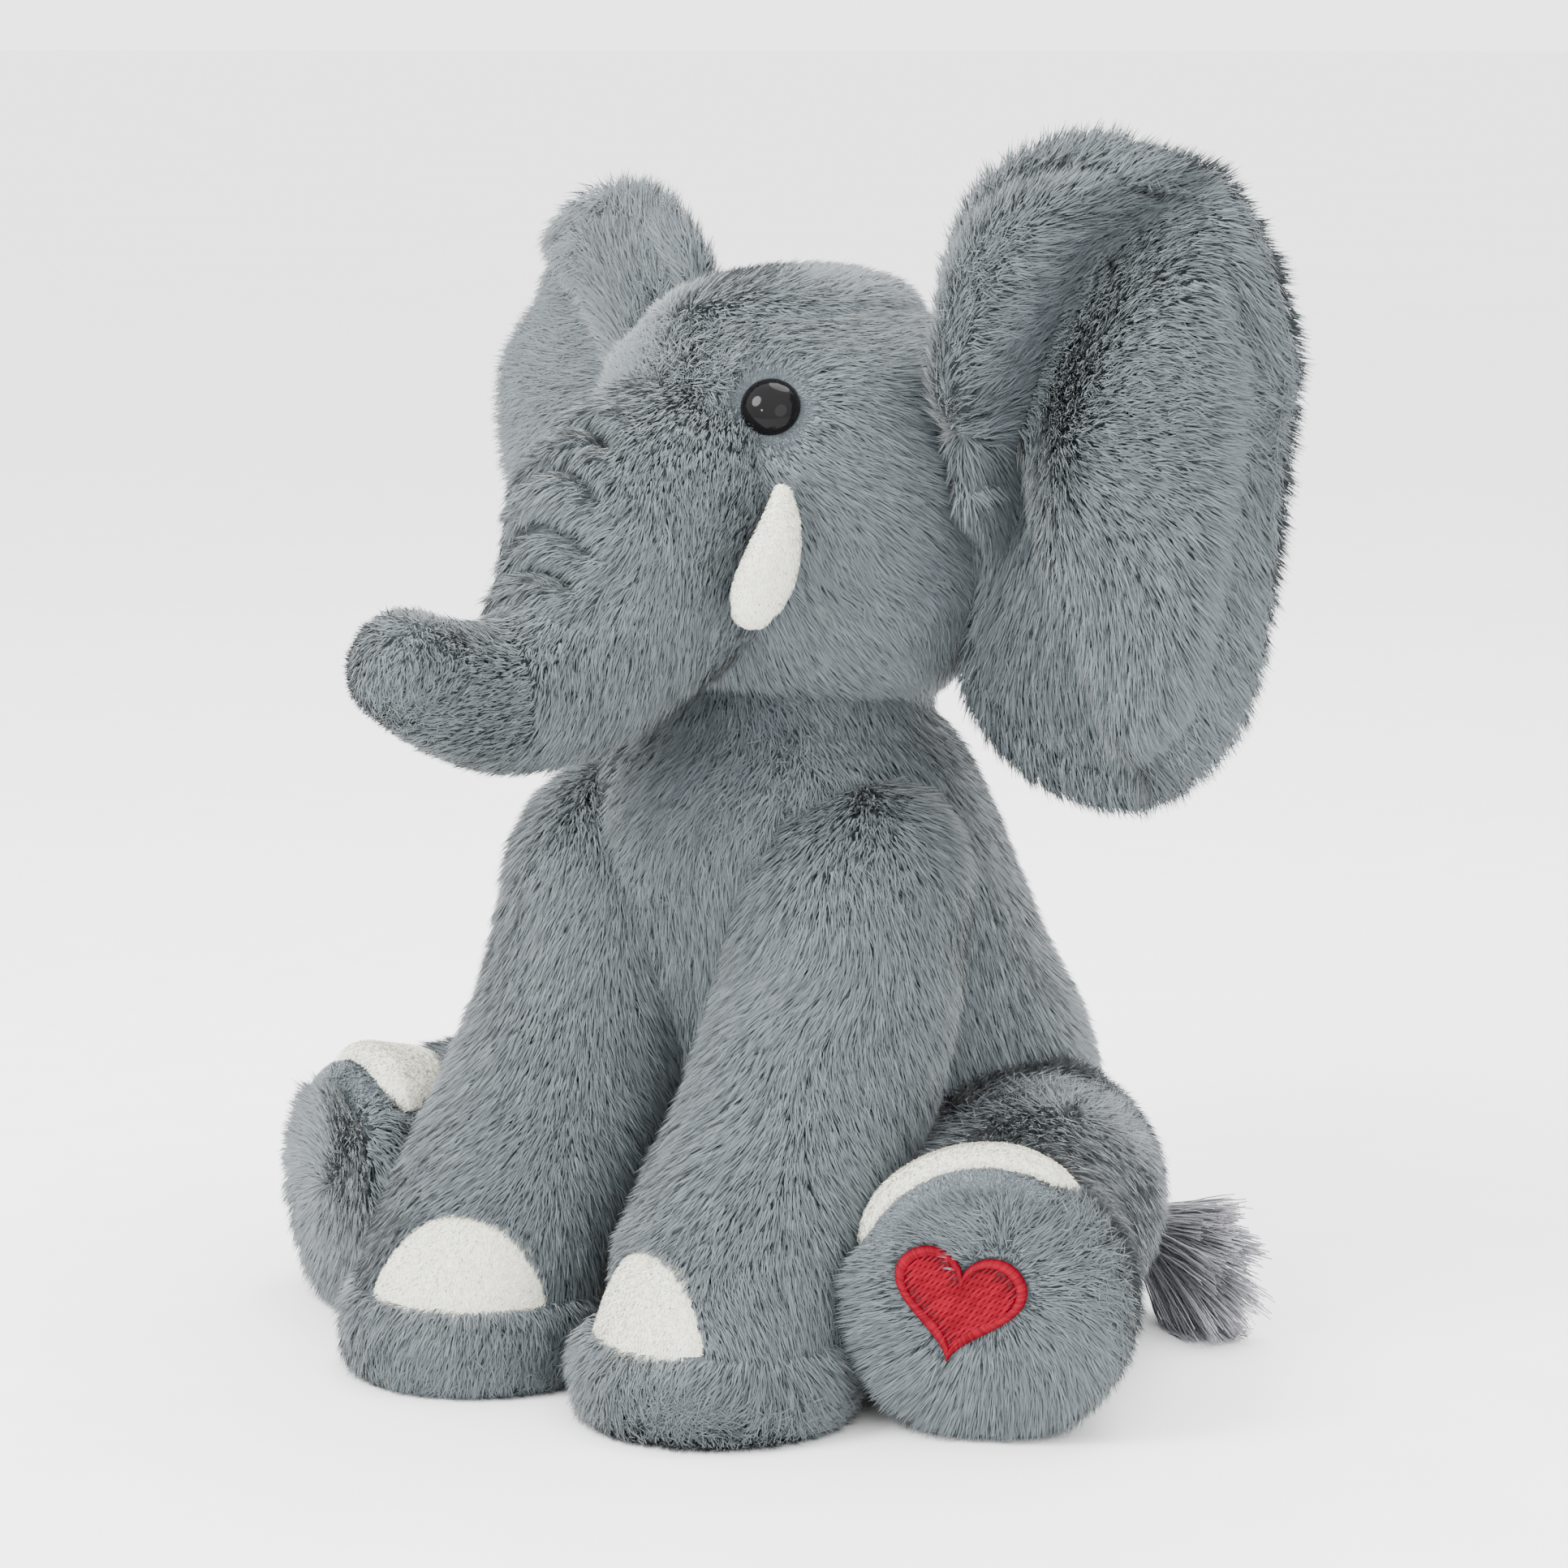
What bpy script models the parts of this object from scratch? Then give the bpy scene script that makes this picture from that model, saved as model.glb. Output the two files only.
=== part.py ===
"""A sitting stuffed elephant, sewn from plush panels over polyester stuffing.

Metres, +Z up. The elephant faces -Y and its left is +X. The origin is on the
floor, under the flat seat panel. Every sewn piece is its own object: skins are
shells with a sewing opening, and each one holds a separate stuffing core.
Limbs are let into round openings of the torso and turn about their sewn roots.
"""
import math

import bmesh
import bpy
from mathutils import Euler, Matrix, Vector

# ---- cloth ----
SKIN = 0.0015            # plush backing with the root of its pile
GAP = 0.0004             # room between pieces that touch
SEWN_ROOM = 0.0018       # room around a limb where it is let into the torso
STUFFING_INSET = 0.0030  # how far a core stays inside its skin's outer face

# ---- torso: (height, centre y, half width, half depth), seat to neck ----
TORSO = [
    (0.0000, 0.010, 0.043, 0.042),
    (0.0140, 0.012, 0.054, 0.053),
    (0.0400, 0.013, 0.060, 0.059),
    (0.0680, 0.010, 0.058, 0.057),
    (0.0950, -0.001, 0.052, 0.051),
    (0.1220, -0.011, 0.047, 0.047),
    (0.1400, -0.014, 0.039, 0.039),
    (0.1500, -0.015, 0.030, 0.030),
]
SEAT_CENTRE_Y = 0.010
SEAT_RADIUS = 0.0385
POUCH_RADIUS = 0.037
POUCH_TOP = 0.023

# ---- head, in its own frame: -Y is the way the face looks ----
HEAD_CENTRE = Vector((0.0, -0.012, 0.205))
HEAD_YAW = math.radians(-12)
HEAD_ROLL = math.radians(-6)
HEAD = [
    (-0.0495, 0.004, 0.026, 0.026),
    (-0.0410, 0.002, 0.035, 0.035),
    (-0.0220, 0.000, 0.044, 0.045),
    (0.0020, 0.000, 0.046, 0.048),
    (0.0240, 0.000, 0.041, 0.044),
    (0.0400, 0.001, 0.029, 0.032),
]
HEAD_TOP = 0.0505

# ---- trunk, in the head's frame: (y, z, half width, half height) ----
TRUNK = [
    (-0.020, -0.006, 0.030, 0.032),
    (-0.037, -0.010, 0.030, 0.032),
    (-0.055, -0.016, 0.029, 0.032),
    (-0.072, -0.025, 0.026, 0.027),
    (-0.086, -0.036, 0.019, 0.020),
    (-0.098, -0.0385, 0.0145, 0.0140),
    (-0.110, -0.0365, 0.0130, 0.0125),
    (-0.121, -0.0330, 0.0105, 0.0105),
]
TRUNK_TIP = (-0.1290, -0.0300)
# wrinkles on its bridge: a point inside (y, z), the lean above level, the half angle across
WRINKLES = [(-0.048, -0.014, 68, 15), (-0.055, -0.018, 61, 24),
            (-0.061, -0.022, 53, 32), (-0.067, -0.026, 45, 34)]
THREAD_RADIUS = 0.0006

# ---- eyes: safety eyes with a shank and a lock washer ----
EYE_TOWARDS = Vector((0.0335, -0.0350, 0.0200))
EYE_RADIUS = 0.0070
EYE_HEIGHT = 0.0052
SHANK_RADIUS = 0.0018
SHANK_LENGTH = 0.0095
WASHER_RADIUS = 0.0058
WASHER_THICKNESS = 0.0012
WASHER_DEPTH = 0.0036    # below the skin's outer face

# ---- tusks, in the head's frame: (x, y, z, radius) from root to tip ----
TUSK = [
    (0.0385, -0.0395, 0.0010, 0.0028),
    (0.0395, -0.0420, -0.0060, 0.0048),
    (0.0400, -0.0460, -0.0145, 0.0062),
    (0.0395, -0.0505, -0.0225, 0.0064),
    (0.0385, -0.0540, -0.0285, 0.0048),
]
TUSK_TIP = (0.0380, -0.0558, -0.0318)
TUSK_SKIN = 0.0008

# ---- ears, in the head's frame: a leaf, outwards w and upwards h of its root ----
EAR_ROOT = Vector((0.0430, 0.0160, 0.0))
EAR_SWEEP = math.radians(11)
EAR_MIDDLE = (0.042, 0.0)
EAR_OUTLINE = [
    (0.084, 0.000), (0.088, 0.030), (0.074, 0.062), (0.048, 0.073), (0.022, 0.066),
    (0.008, 0.042), (0.004, 0.012), (0.002, -0.020), (-0.004, -0.048), (0.012, -0.068),
    (0.040, -0.075), (0.066, -0.060), (0.078, -0.030),
]
EAR_SPOKES = 20
EAR_RINGS = (0.25, 0.50, 0.72, 0.90, 1.0)
EAR_PANEL = 0.0012
EAR_PLUMP = 0.0040
EAR_EDGE = 0.0016
WADDING_INSET = 0.0032
WADDING_REACH = 0.74
LIP_FORWARD = 0.012
LOBE_BACK = 0.010

# ---- limbs: stations (along, towards the toe, half width, half depth) ----
ARM_ROOT = Vector((0.035, -0.036, 0.112))
ARM = [
    (0.0000, 0.000, 0.0240, 0.0240),
    (0.0220, 0.006, 0.0250, 0.0255),
    (0.0450, 0.018, 0.0260, 0.0275),
    (0.0620, 0.031, 0.0265, 0.0285),
    (0.0800, 0.045, 0.0265, 0.0285),
    (0.0970, 0.054, 0.0270, 0.0280),
]
SHOULDER_ROOM = 0.0300   # the round room in which an arm's sewn root turns
ARM_SOLE = (0.0300, 0.0140)
ARM_PATCH = (0.0225, 0.0265, 0.0150)

LEG_ROOT = Vector((0.058, 0.004, 0.0365))
LEG_SPLAY = math.radians(27)
LEG = [
    (0.0000, 0.0000, 0.0300, 0.0300),
    (0.0220, 0.0000, 0.0290, 0.0290),
    (0.0450, -0.0030, 0.0270, 0.0275),
    (0.0630, -0.0050, 0.0270, 0.0275),
    (0.0740, -0.0052, 0.0275, 0.0275),
]
LEG_SOLE = (0.0305, 0.0100)
LEG_PATCH = (0.0270, 0.0100, 0.0120)

# ---- heart on the left hind sole, and the tail ----
HEART_WIDTH = 0.031
HEART_THICKNESS = 0.0012
HEART_TILT = math.radians(-10)
HEART_OFFSET = 0.0060    # from the sole's middle towards the other foot
TAIL_ROUTE = [
    (0.000, 0.0765, 0.038), (0.005, 0.0850, 0.038), (0.021, 0.0865, 0.036),
    (0.038, 0.0800, 0.032), (0.051, 0.0670, 0.027), (0.058, 0.0555, 0.023),
    (0.0612, 0.0475, 0.0212),
]
TAIL_CORD_RADIUS = 0.0030
TASSEL_ROOT = Vector((0.0620, 0.0465, 0.0210))
TASSEL_END = Vector((0.0920, 0.0340, 0.0150))
TASSEL_RADII = (0.0042, 0.0066, 0.0105, 0.0130)
TASSEL_START = 0.0045    # from the cord's end to the bound neck of the yarn
BINDING = (0.0060, 0.0090, 0.0056, 0.0069)   # from, to, inner and outer radius

SEGMENTS = 8             # points round one ring of a skin's cage
CORE_SEGMENTS = 6        # and of a stuffing core's

# ---- colours ----
GREY_FUR = (0.205, 0.238, 0.258)
WHITE_MINKY = (0.87, 0.87, 0.81)
STUFFING = (0.90, 0.90, 0.88)
HEART_RED = (0.61, 0.021, 0.038)
EYE_BLACK = (0.010, 0.010, 0.012)
YARN = (0.127, 0.127, 0.155)


def clear_scene():
    for obj in list(bpy.data.objects):
        bpy.data.objects.remove(obj, do_unlink=True)


def make_collection(name):
    collection = bpy.data.collections.new(name)
    bpy.context.scene.collection.children.link(collection)
    return collection


def material(name, colour, roughness, metallic=0.0):
    mat = bpy.data.materials.new(name)
    mat.use_nodes = True
    shader = mat.node_tree.nodes["Principled BSDF"]
    shader.inputs["Base Color"].default_value = (*colour, 1.0)
    shader.inputs["Roughness"].default_value = roughness
    shader.inputs["Metallic"].default_value = metallic
    mat.diffuse_color = (*colour, 1.0)
    return mat


clear_scene()
PARTS = make_collection("stuffed_elephant")
CUTTERS = make_collection("cutters")


def add_object(name, mesh, parent=None, look=None, collection=None):
    obj = bpy.data.objects.new(name, mesh)
    (collection or PARTS).objects.link(obj)
    if parent is not None:
        obj.parent = parent
    if look is not None:
        mesh.materials.append(material(name, *look))
    return obj


def add_empty(name, location, rotation=(0.0, 0.0, 0.0), parent=None):
    empty = bpy.data.objects.new(name, None)
    empty.empty_display_size = 0.01
    empty.location = location
    empty.rotation_euler = rotation
    empty.parent = parent
    PARTS.objects.link(empty)
    return empty


def mesh_from(bm, name):
    bmesh.ops.recalc_face_normals(bm, faces=bm.faces)
    mesh = bpy.data.meshes.new(name)
    bm.to_mesh(mesh)
    bm.free()
    mesh.shade_smooth()
    return mesh


def ring(centre, right, up, half_right, half_up, count=SEGMENTS):
    """Cage points whose subdivided surface passes at the given half sizes."""
    swell = 3.0 / (2.0 + math.cos(2 * math.pi / count))
    points = []
    for i in range(count):
        angle = 2 * math.pi * i / count
        offset = right * (half_right * math.cos(angle)) + up * (half_up * math.sin(angle))
        points.append(centre + offset * swell)
    return points


def cage_mesh(name, rings, start=None, end=None):
    """Quads between rings, with an optional pole at either end."""
    bm = bmesh.new()
    rows = [[bm.verts.new(p) for p in points] for points in rings]
    count = len(rows[0])
    for low, high in zip(rows, rows[1:]):
        for i in range(count):
            j = (i + 1) % count
            bm.faces.new((low[i], low[j], high[j], high[i]))
    for pole, row in ((start, rows[0]), (end, rows[-1])):
        if pole is not None:
            tip = bm.verts.new(pole)
            for i in range(count):
                bm.faces.new((row[i], row[(i + 1) % count], tip))
    return mesh_from(bm, name)


def point_outwards(mesh):
    """Open cages: turn all faces so that they look away from the middle line."""
    bm = bmesh.new()
    bm.from_mesh(mesh)
    middle = sum((v.co for v in bm.verts), Vector()) / len(bm.verts)
    facing = sum(f.normal.dot(f.calc_center_median() - middle) * f.calc_area() for f in bm.faces)
    if facing < 0:
        bmesh.ops.reverse_faces(bm, faces=bm.faces)
    bm.to_mesh(mesh)
    bm.free()


def subdivide(obj, levels=1):
    mod = obj.modifiers.new("soft", "SUBSURF")
    mod.levels = levels
    mod.render_levels = levels
    return obj


def thicken(obj, thickness=SKIN):
    mod = obj.modifiers.new("cloth", "SOLIDIFY")
    mod.thickness = thickness
    mod.offset = -1.0
    mod.use_even_offset = False
    return obj


def combine(obj, cutter, operation="DIFFERENCE"):
    mod = obj.modifiers.new(operation.lower(), "BOOLEAN")
    mod.operation = operation
    mod.solver = "EXACT"
    mod.object = cutter
    return obj


def triangulate(obj):
    """Flatten the faces of a form before it is cut, so the cut leaves no slivers."""
    obj.modifiers.new("flat_faces", "TRIANGULATE")
    return obj


def as_cutter(obj):
    obj.hide_render = True
    obj.display_type = "WIRE"
    return obj


def swell(obj, distance):
    """Move a soft form's surface outwards, or inwards where the distance is negative."""
    mod = obj.modifiers.new("swell", "DISPLACE")
    mod.strength = distance
    mod.mid_level = 0.0
    return obj


def soft_piece(name, rings, start, end, parent, look, skin=False, cutter=False, grow=0.0, levels=1):
    mesh = cage_mesh(name, rings, start, end)
    point_outwards(mesh)
    obj = add_object(name, mesh, parent, look, CUTTERS if cutter else PARTS)
    subdivide(obj, levels)
    if grow:
        swell(obj, grow)
    if skin:
        thicken(obj)
    if cutter:
        as_cutter(triangulate(obj))
    return obj


FUR_LOOK = (GREY_FUR, 0.95)
MINKY_LOOK = (WHITE_MINKY, 0.9)
FILL_LOOK = (STUFFING, 1.0)
X, Y, Z = Vector((1, 0, 0)), Vector((0, 1, 0)), Vector((0, 0, 1))


def upright_rings(stations, count=SEGMENTS):
    """Level rings of a form that stands on its Z axis."""
    return [ring(Vector((0, y, z)), X, Y, half_x, half_y, count) for z, y, half_x, half_y in stations]


def surface_point(obj, origin, towards):
    """The outermost point of obj on a ray from origin, in obj's own frame, with its normal."""
    bpy.context.view_layer.update()
    shape = obj.evaluated_get(bpy.context.evaluated_depsgraph_get())
    direction = towards.normalized()
    far = origin + direction * 0.3
    hit, place, normal, _ = shape.ray_cast(far, -direction)
    if not hit:
        raise ValueError(f"nothing of {obj.name} lies that way")
    return place, normal


# ---------------------------------------------------------------- torso
def build_torso(limb_cutters):
    skin = soft_piece("torso_skin", upright_rings(TORSO), None, None, None, FUR_LOOK, skin=True)
    low = POUCH_TOP + STUFFING_INSET + GAP
    top, neck_y = TORSO[-1][:2]
    core_stations = [(low, SEAT_CENTRE_Y, 0.0515, 0.0505)] + TORSO[2:-1]
    core_stations.append((top - 0.0010, neck_y, TORSO[-1][2] - 0.0012, TORSO[-1][3] - 0.0012))
    core = soft_piece(
        "torso_stuffing", upright_rings(core_stations, CORE_SEGMENTS), Vector((0, SEAT_CENTRE_Y, low)),
        Vector((0, neck_y, top)), None, FILL_LOOK, grow=-STUFFING_INSET)
    for cutter in limb_cutters:
        combine(skin, cutter)
    triangulate(core)
    for cutter in limb_cutters[::-1]:
        combine(core, cutter)
    # the flat panel that closes the seat
    bm = bmesh.new()
    bmesh.ops.create_cone(bm, cap_ends=True, segments=32, radius1=SEAT_RADIUS, radius2=SEAT_RADIUS,
                          depth=SKIN, matrix=Matrix.Translation((0, SEAT_CENTRE_Y, SKIN / 2)))
    add_object("seat_panel", mesh_from(bm, "seat_panel"), None, FUR_LOOK)
    # the pouch of weighting pellets that keeps the toy sitting
    low = SKIN + GAP
    middle = (low + POUCH_TOP) / 2
    pouch = [
        (low, SEAT_CENTRE_Y, POUCH_RADIUS * 0.78, POUCH_RADIUS * 0.78),
        (middle, SEAT_CENTRE_Y, POUCH_RADIUS, POUCH_RADIUS),
        (POUCH_TOP, SEAT_CENTRE_Y, POUCH_RADIUS * 0.78, POUCH_RADIUS * 0.78),
    ]
    bag = soft_piece("pellet_pouch", upright_rings(pouch, CORE_SEGMENTS), Vector((0, SEAT_CENTRE_Y, low)),
                     Vector((0, SEAT_CENTRE_Y, POUCH_TOP)), None, ((0.75, 0.74, 0.70), 0.9))
    for cutter in limb_cutters:
        combine(bag, cutter)


# ---------------------------------------------------------------- limbs
def limb_form(name, stations, frame, look=None, close=True, count=SEGMENTS, **kind):
    """A limb that runs down its own -Z with its toe on -Y, and rounds off at its sewn root."""
    radius = stations[0][2]
    rings = [ring(Z * (radius * 0.72), X, Y, radius * 0.76, radius * 0.76, count)]
    for along, toe, half_side, half_toe in stations:
        rings.append(ring(Vector((0, -toe, -along)), X, Y, half_side, half_toe, count))
    end = Vector((0, -stations[-1][1], -stations[-1][0])) if close else None
    return soft_piece(name, rings, Z * (radius * 1.12), end, frame, look, **kind)


def ellipsoid_cutter(name, centre, half_sizes, frame):
    bm = bmesh.new()
    shape = Matrix.Translation(centre) @ Matrix.Diagonal((*half_sizes, 1.0))
    bmesh.ops.create_uvsphere(bm, u_segments=16, v_segments=10, radius=1.0, matrix=shape)
    return as_cutter(add_object(name, mesh_from(bm, name), frame, None, CUTTERS))


def sole_piece(name, centre, radius, thickness, frame):
    """A round padded sole, flat on its outer side."""
    levels = ((0.0, 0.90), (0.35, 1.0), (0.75, 1.0), (1.0, 0.90))
    rings = [ring(centre - Z * (thickness * part), X, Y, radius * size, radius * size)
             for part, size in levels]
    return soft_piece(name, rings, centre, centre - Z * thickness, frame, FUR_LOOK)


def build_limb(side, kind, frame, stations, sole, patch):
    """Skin, stuffing, toe patch and sole of one limb, and the cutter of its seat in the torso."""
    name = f"{side}_{kind}"
    sole_radius, sole_thickness = sole
    along, toe, _, half_toe = stations[-1]
    seat = limb_form(f"{name}_seat", stations, frame, cutter=True, grow=SEWN_ROOM)
    skin = limb_form(f"{name}_skin", stations, frame, FUR_LOOK, close=False, skin=True)
    shell = limb_form(f"{name}_toe_patch", stations, frame, MINKY_LOOK, close=False, skin=True)
    limb_form(f"{name}_stuffing", stations, frame, FILL_LOOK, count=CORE_SEGMENTS, grow=-STUFFING_INSET)
    middle = Vector((0, -toe - half_toe * 0.93, -along))
    half_side, half_along, half_deep = patch
    hole = ellipsoid_cutter(f"{name}_patch_hole", middle, (half_side, half_deep, half_along), frame)
    slim = [size - GAP for size in (half_side, half_deep, half_along)]
    plug = ellipsoid_cutter(f"{name}_patch_plug", middle, slim, frame)
    combine(skin, hole)
    combine(shell, plug, "INTERSECT")
    sole_piece(f"{name}_sole", Vector((0, -toe, -along - GAP)), sole_radius, sole_thickness, frame)
    return seat


def build_limbs():
    seats = []
    for side, sign in (("left", 1), ("right", -1)):
        root = Vector((ARM_ROOT.x * sign, ARM_ROOT.y, ARM_ROOT.z))
        shoulder = add_empty(f"{side}_shoulder", root)
        room = (SHOULDER_ROOM, SHOULDER_ROOM, SHOULDER_ROOM)
        seats.append(ellipsoid_cutter(f"{side}_shoulder_room", Vector(), room, shoulder))
        seats.append(build_limb(side, "arm", shoulder, ARM, ARM_SOLE, ARM_PATCH))
        root = Vector((LEG_ROOT.x * sign, LEG_ROOT.y, LEG_ROOT.z))
        # the leg lies down: its -Z runs forwards along the floor and its toe looks up
        lie = Euler((math.radians(-90), 0, LEG_SPLAY * sign)).to_matrix().to_4x4()
        hip = add_empty(f"{side}_hip", root)
        hip.rotation_euler = lie.to_euler()
        seats.append(build_limb(side, "leg", hip, LEG, LEG_SOLE, LEG_PATCH))
    return seats


# ---------------------------------------------------------------- head
def head_frame():
    turn = Matrix.Rotation(HEAD_YAW, 4, "Z") @ Matrix.Rotation(HEAD_ROLL, 4, "Y")
    return add_empty("head_centre", HEAD_CENTRE, turn.to_euler())


def trunk_rings(count=SEGMENTS):
    """Rings square to the trunk's middle line, which droops and then turns up at the tip."""
    rings = []
    for i, (y, z, half_x, half_up) in enumerate(TRUNK):
        before = TRUNK[max(i - 1, 0)]
        after = TRUNK[min(i + 1, len(TRUNK) - 1)]
        run = Vector((0, after[0] - before[0], after[1] - before[1])).normalized()
        rings.append(ring(Vector((0, y, z)), X, X.cross(run), half_x, half_up, count))
    return rings


def build_head(frame):
    top = Vector((0, 0.001, HEAD_TOP + 0.004))
    skin = soft_piece("head_skin", upright_rings(HEAD), None, top, frame, FUR_LOOK, skin=True)
    neck = Vector((0, HEAD[0][1], HEAD[0][0]))
    core = soft_piece("head_stuffing", upright_rings(HEAD, CORE_SEGMENTS), neck, top, frame, FILL_LOOK,
                      grow=-STUFFING_INSET)
    whole = soft_piece("head_form", upright_rings(HEAD), neck, top, frame, None, cutter=True, grow=0.0006)
    tip = Vector((0, *TRUNK_TIP))
    base = Vector((0, *TRUNK[0][:2]))
    trunk_skin = soft_piece("trunk_skin", trunk_rings(), None, tip, frame, FUR_LOOK, skin=True)
    trunk_core = soft_piece("trunk_stuffing", trunk_rings(CORE_SEGMENTS), base, tip, frame, FILL_LOOK,
                            grow=-STUFFING_INSET)
    combine(trunk_skin, whole)
    combine(trunk_core, whole)
    return skin, core, trunk_skin


def turned(name, profile, frame, look, steps=20):
    """A piece turned about its own Z, from a profile that runs down its outer side."""
    bm = bmesh.new()
    verts = [bm.verts.new((radius, 0, height)) for radius, height in profile]
    for a, b in zip(verts, verts[1:]):
        bm.edges.new((a, b))
    mesh = bpy.data.meshes.new(name)
    bm.to_mesh(mesh)
    bm.free()
    obj = add_object(name, mesh, frame, look, None if look else CUTTERS)
    mod = obj.modifiers.new("turned", "SCREW")
    mod.steps = steps
    mod.render_steps = steps
    mod.use_merge_vertices = True
    mod.merge_threshold = 0.00001
    mod.use_smooth_shade = True
    return obj


def build_eye(side, sign, frame, skin, core):
    towards = Vector((EYE_TOWARDS.x * sign, EYE_TOWARDS.y, EYE_TOWARDS.z))
    place, _ = surface_point(skin, Vector((0, 0, 0)), towards)
    facing = towards.normalized()
    seat = add_empty(f"{side}_eye_seat", place, Z.rotation_difference(facing).to_euler(), frame)
    base = 0.0007
    arc = [(EYE_RADIUS * math.sin(a), base + 0.0008 + (EYE_HEIGHT - 0.0008) * math.cos(a))
           for a in (math.radians(step * 15) for step in range(7))]
    profile = arc + [(EYE_RADIUS * 0.97, base), (SHANK_RADIUS, base),
                     (SHANK_RADIUS, base - SHANK_LENGTH), (0.0, base - SHANK_LENGTH)]
    turned(f"{side}_eye", profile, seat, (EYE_BLACK, 0.08))
    top = -WASHER_DEPTH
    low = top - WASHER_THICKNESS
    bore = SHANK_RADIUS + GAP
    turned(f"{side}_eye_washer",
           [(bore, top), (WASHER_RADIUS, top), (WASHER_RADIUS, low), (bore, low), (bore, top)],
           seat, ((0.80, 0.80, 0.80), 0.5))
    hole = turned(f"{side}_shank_hole", [(0, 0.004), (bore, 0.004), (bore, -0.006), (0, -0.006)],
                  seat, None)
    wide = WASHER_RADIUS + 0.0006
    deep = base - SHANK_LENGTH - 0.0008
    pocket = turned(f"{side}_washer_pocket",
                    [(0, 0.004), (wide, 0.004), (wide, low - 0.0006), (bore, low - 0.0006),
                     (bore, deep), (0, deep)], seat, None)
    combine(skin, as_cutter(hole))
    combine(core, as_cutter(pocket))


def build_tusk(side, sign, frame):
    def flip(point):
        return Vector((point[0] * sign, point[1], point[2]))

    centres = [flip(station) for station in TUSK]
    radii = [station[3] for station in TUSK]

    rings = []
    for i, (centre, radius) in enumerate(zip(centres, radii)):
        run = (centres[min(i + 1, len(centres) - 1)] - centres[max(i - 1, 0)]).normalized()
        rings.append(ring(centre, X, run.cross(X).normalized(), radius * 0.8, radius, 6))
    tip = flip(TUSK_TIP)
    skin = soft_piece(f"{side}_tusk_skin", rings, None, tip, frame, MINKY_LOOK)
    thicken(skin, TUSK_SKIN)
    soft_piece(f"{side}_tusk_stuffing", rings, centres[0], tip, frame, FILL_LOOK,
               grow=-TUSK_SKIN - 2 * GAP)


def build_wrinkles(frame, trunk):
    """Four curved tucks on the bridge of the trunk, each drawn in with a thread."""
    for number, (y, z, tilt, half_angle) in enumerate(WRINKLES, 1):
        centre = Vector((0, y, z))
        points = []
        for step in range(7):
            share = step / 6 * 2 - 1
            angle = math.radians(share * half_angle)
            lean = math.radians(tilt - 8 * share * share)
            towards = Vector((math.sin(angle), -math.cos(angle) * math.cos(lean),
                              math.cos(angle) * math.sin(lean)))
            place, _ = surface_point(trunk, centre, towards)
            points.append(place + towards * (THREAD_RADIUS + GAP))
        tube(f"trunk_wrinkle_thread_{number}", points, THREAD_RADIUS, frame, (YARN, 0.8), 1)


def tube(name, points, radius, frame, look, resolution):
    curve = bpy.data.curves.new(name, "CURVE")
    curve.dimensions = "3D"
    curve.bevel_depth = radius
    curve.bevel_resolution = resolution
    curve.use_fill_caps = True
    spline = curve.splines.new("POLY")
    spline.points.add(len(points) - 1)
    for point, place in zip(spline.points, points):
        point.co = (*place, 1.0)
    obj = add_object(name, curve, frame)
    curve.materials.append(material(name, *look))
    return obj


def smooth_route(points, per_span):
    """Points on a smooth curve through the route's own points."""
    route = [Vector(p) for p in points]
    found = []
    for i in range(len(route) - 1):
        a = route[max(i - 1, 0)]
        b, c = route[i], route[i + 1]
        d = route[min(i + 2, len(route) - 1)]
        for step in range(per_span):
            t = step / per_span
            found.append(0.5 * ((2 * b) + (c - a) * t + (2 * a - 5 * b + 4 * c - d) * t * t
                                + (3 * b - a - 3 * c + d) * t ** 3))
    found.append(route[-1])
    return found


# ---------------------------------------------------------------- ears
def ease(low, high, value):
    t = min(max((value - low) / (high - low), 0.0), 1.0)
    return t * t * (3 - 2 * t)


def ear_rim(angle):
    """The leaf's edge seen from its middle, on a smooth closed curve."""
    count = len(EAR_OUTLINE)
    place = angle / (2 * math.pi) * count
    i = int(math.floor(place)) % count
    t = place - math.floor(place)
    a, b, c, d = (Vector(EAR_OUTLINE[(i + k) % count]) for k in (-1, 0, 1, 2))
    return 0.5 * ((2 * b) + (c - a) * t + (2 * a - 5 * b + 4 * c - d) * t * t
                  + (3 * b - a - 3 * c + d) * t ** 3)


def ear_lean(place, reach):
    """How far forwards the leaf stands: its front lip curls, its lower lobe hangs back."""
    w = place.x - EAR_MIDDLE[0]
    h = place.y - EAR_MIDDLE[1]
    turn = math.degrees(math.atan2(h, w)) % 360
    lip = ease(60, 115, turn) * (1 - ease(170, 205, turn))
    lobe = ease(195, 235, turn) * (1 - ease(280, 320, turn))
    return (LIP_FORWARD * lip * ease(0.30, 0.85, reach)
            - LOBE_BACK * lobe * ease(0.15, 0.8, reach))


def ear_layer(sign, side_of_leaf, reach, angle, inset=0.0):
    rim = ear_rim(angle)
    middle = Vector(EAR_MIDDLE)
    place = middle + (rim - middle) * reach
    plump = EAR_EDGE + EAR_PLUMP * math.sqrt(max(1 - reach * reach, 0.0)) - inset
    forward = ear_lean(place, reach) + side_of_leaf * plump
    return Vector((place.x * sign, -forward, place.y))


def ear_sheet(sign, side_of_leaf, inset=0.0, shrink=1.0):
    """Rows of points from the leaf's middle to its rim."""
    rows = []
    for reach in EAR_RINGS:
        rows.append([ear_layer(sign, side_of_leaf, reach * shrink, 2 * math.pi * i / EAR_SPOKES, inset)
                     for i in range(EAR_SPOKES)])
    middle = ear_layer(sign, side_of_leaf, 0.0, 0.0, inset)
    return middle, rows


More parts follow.
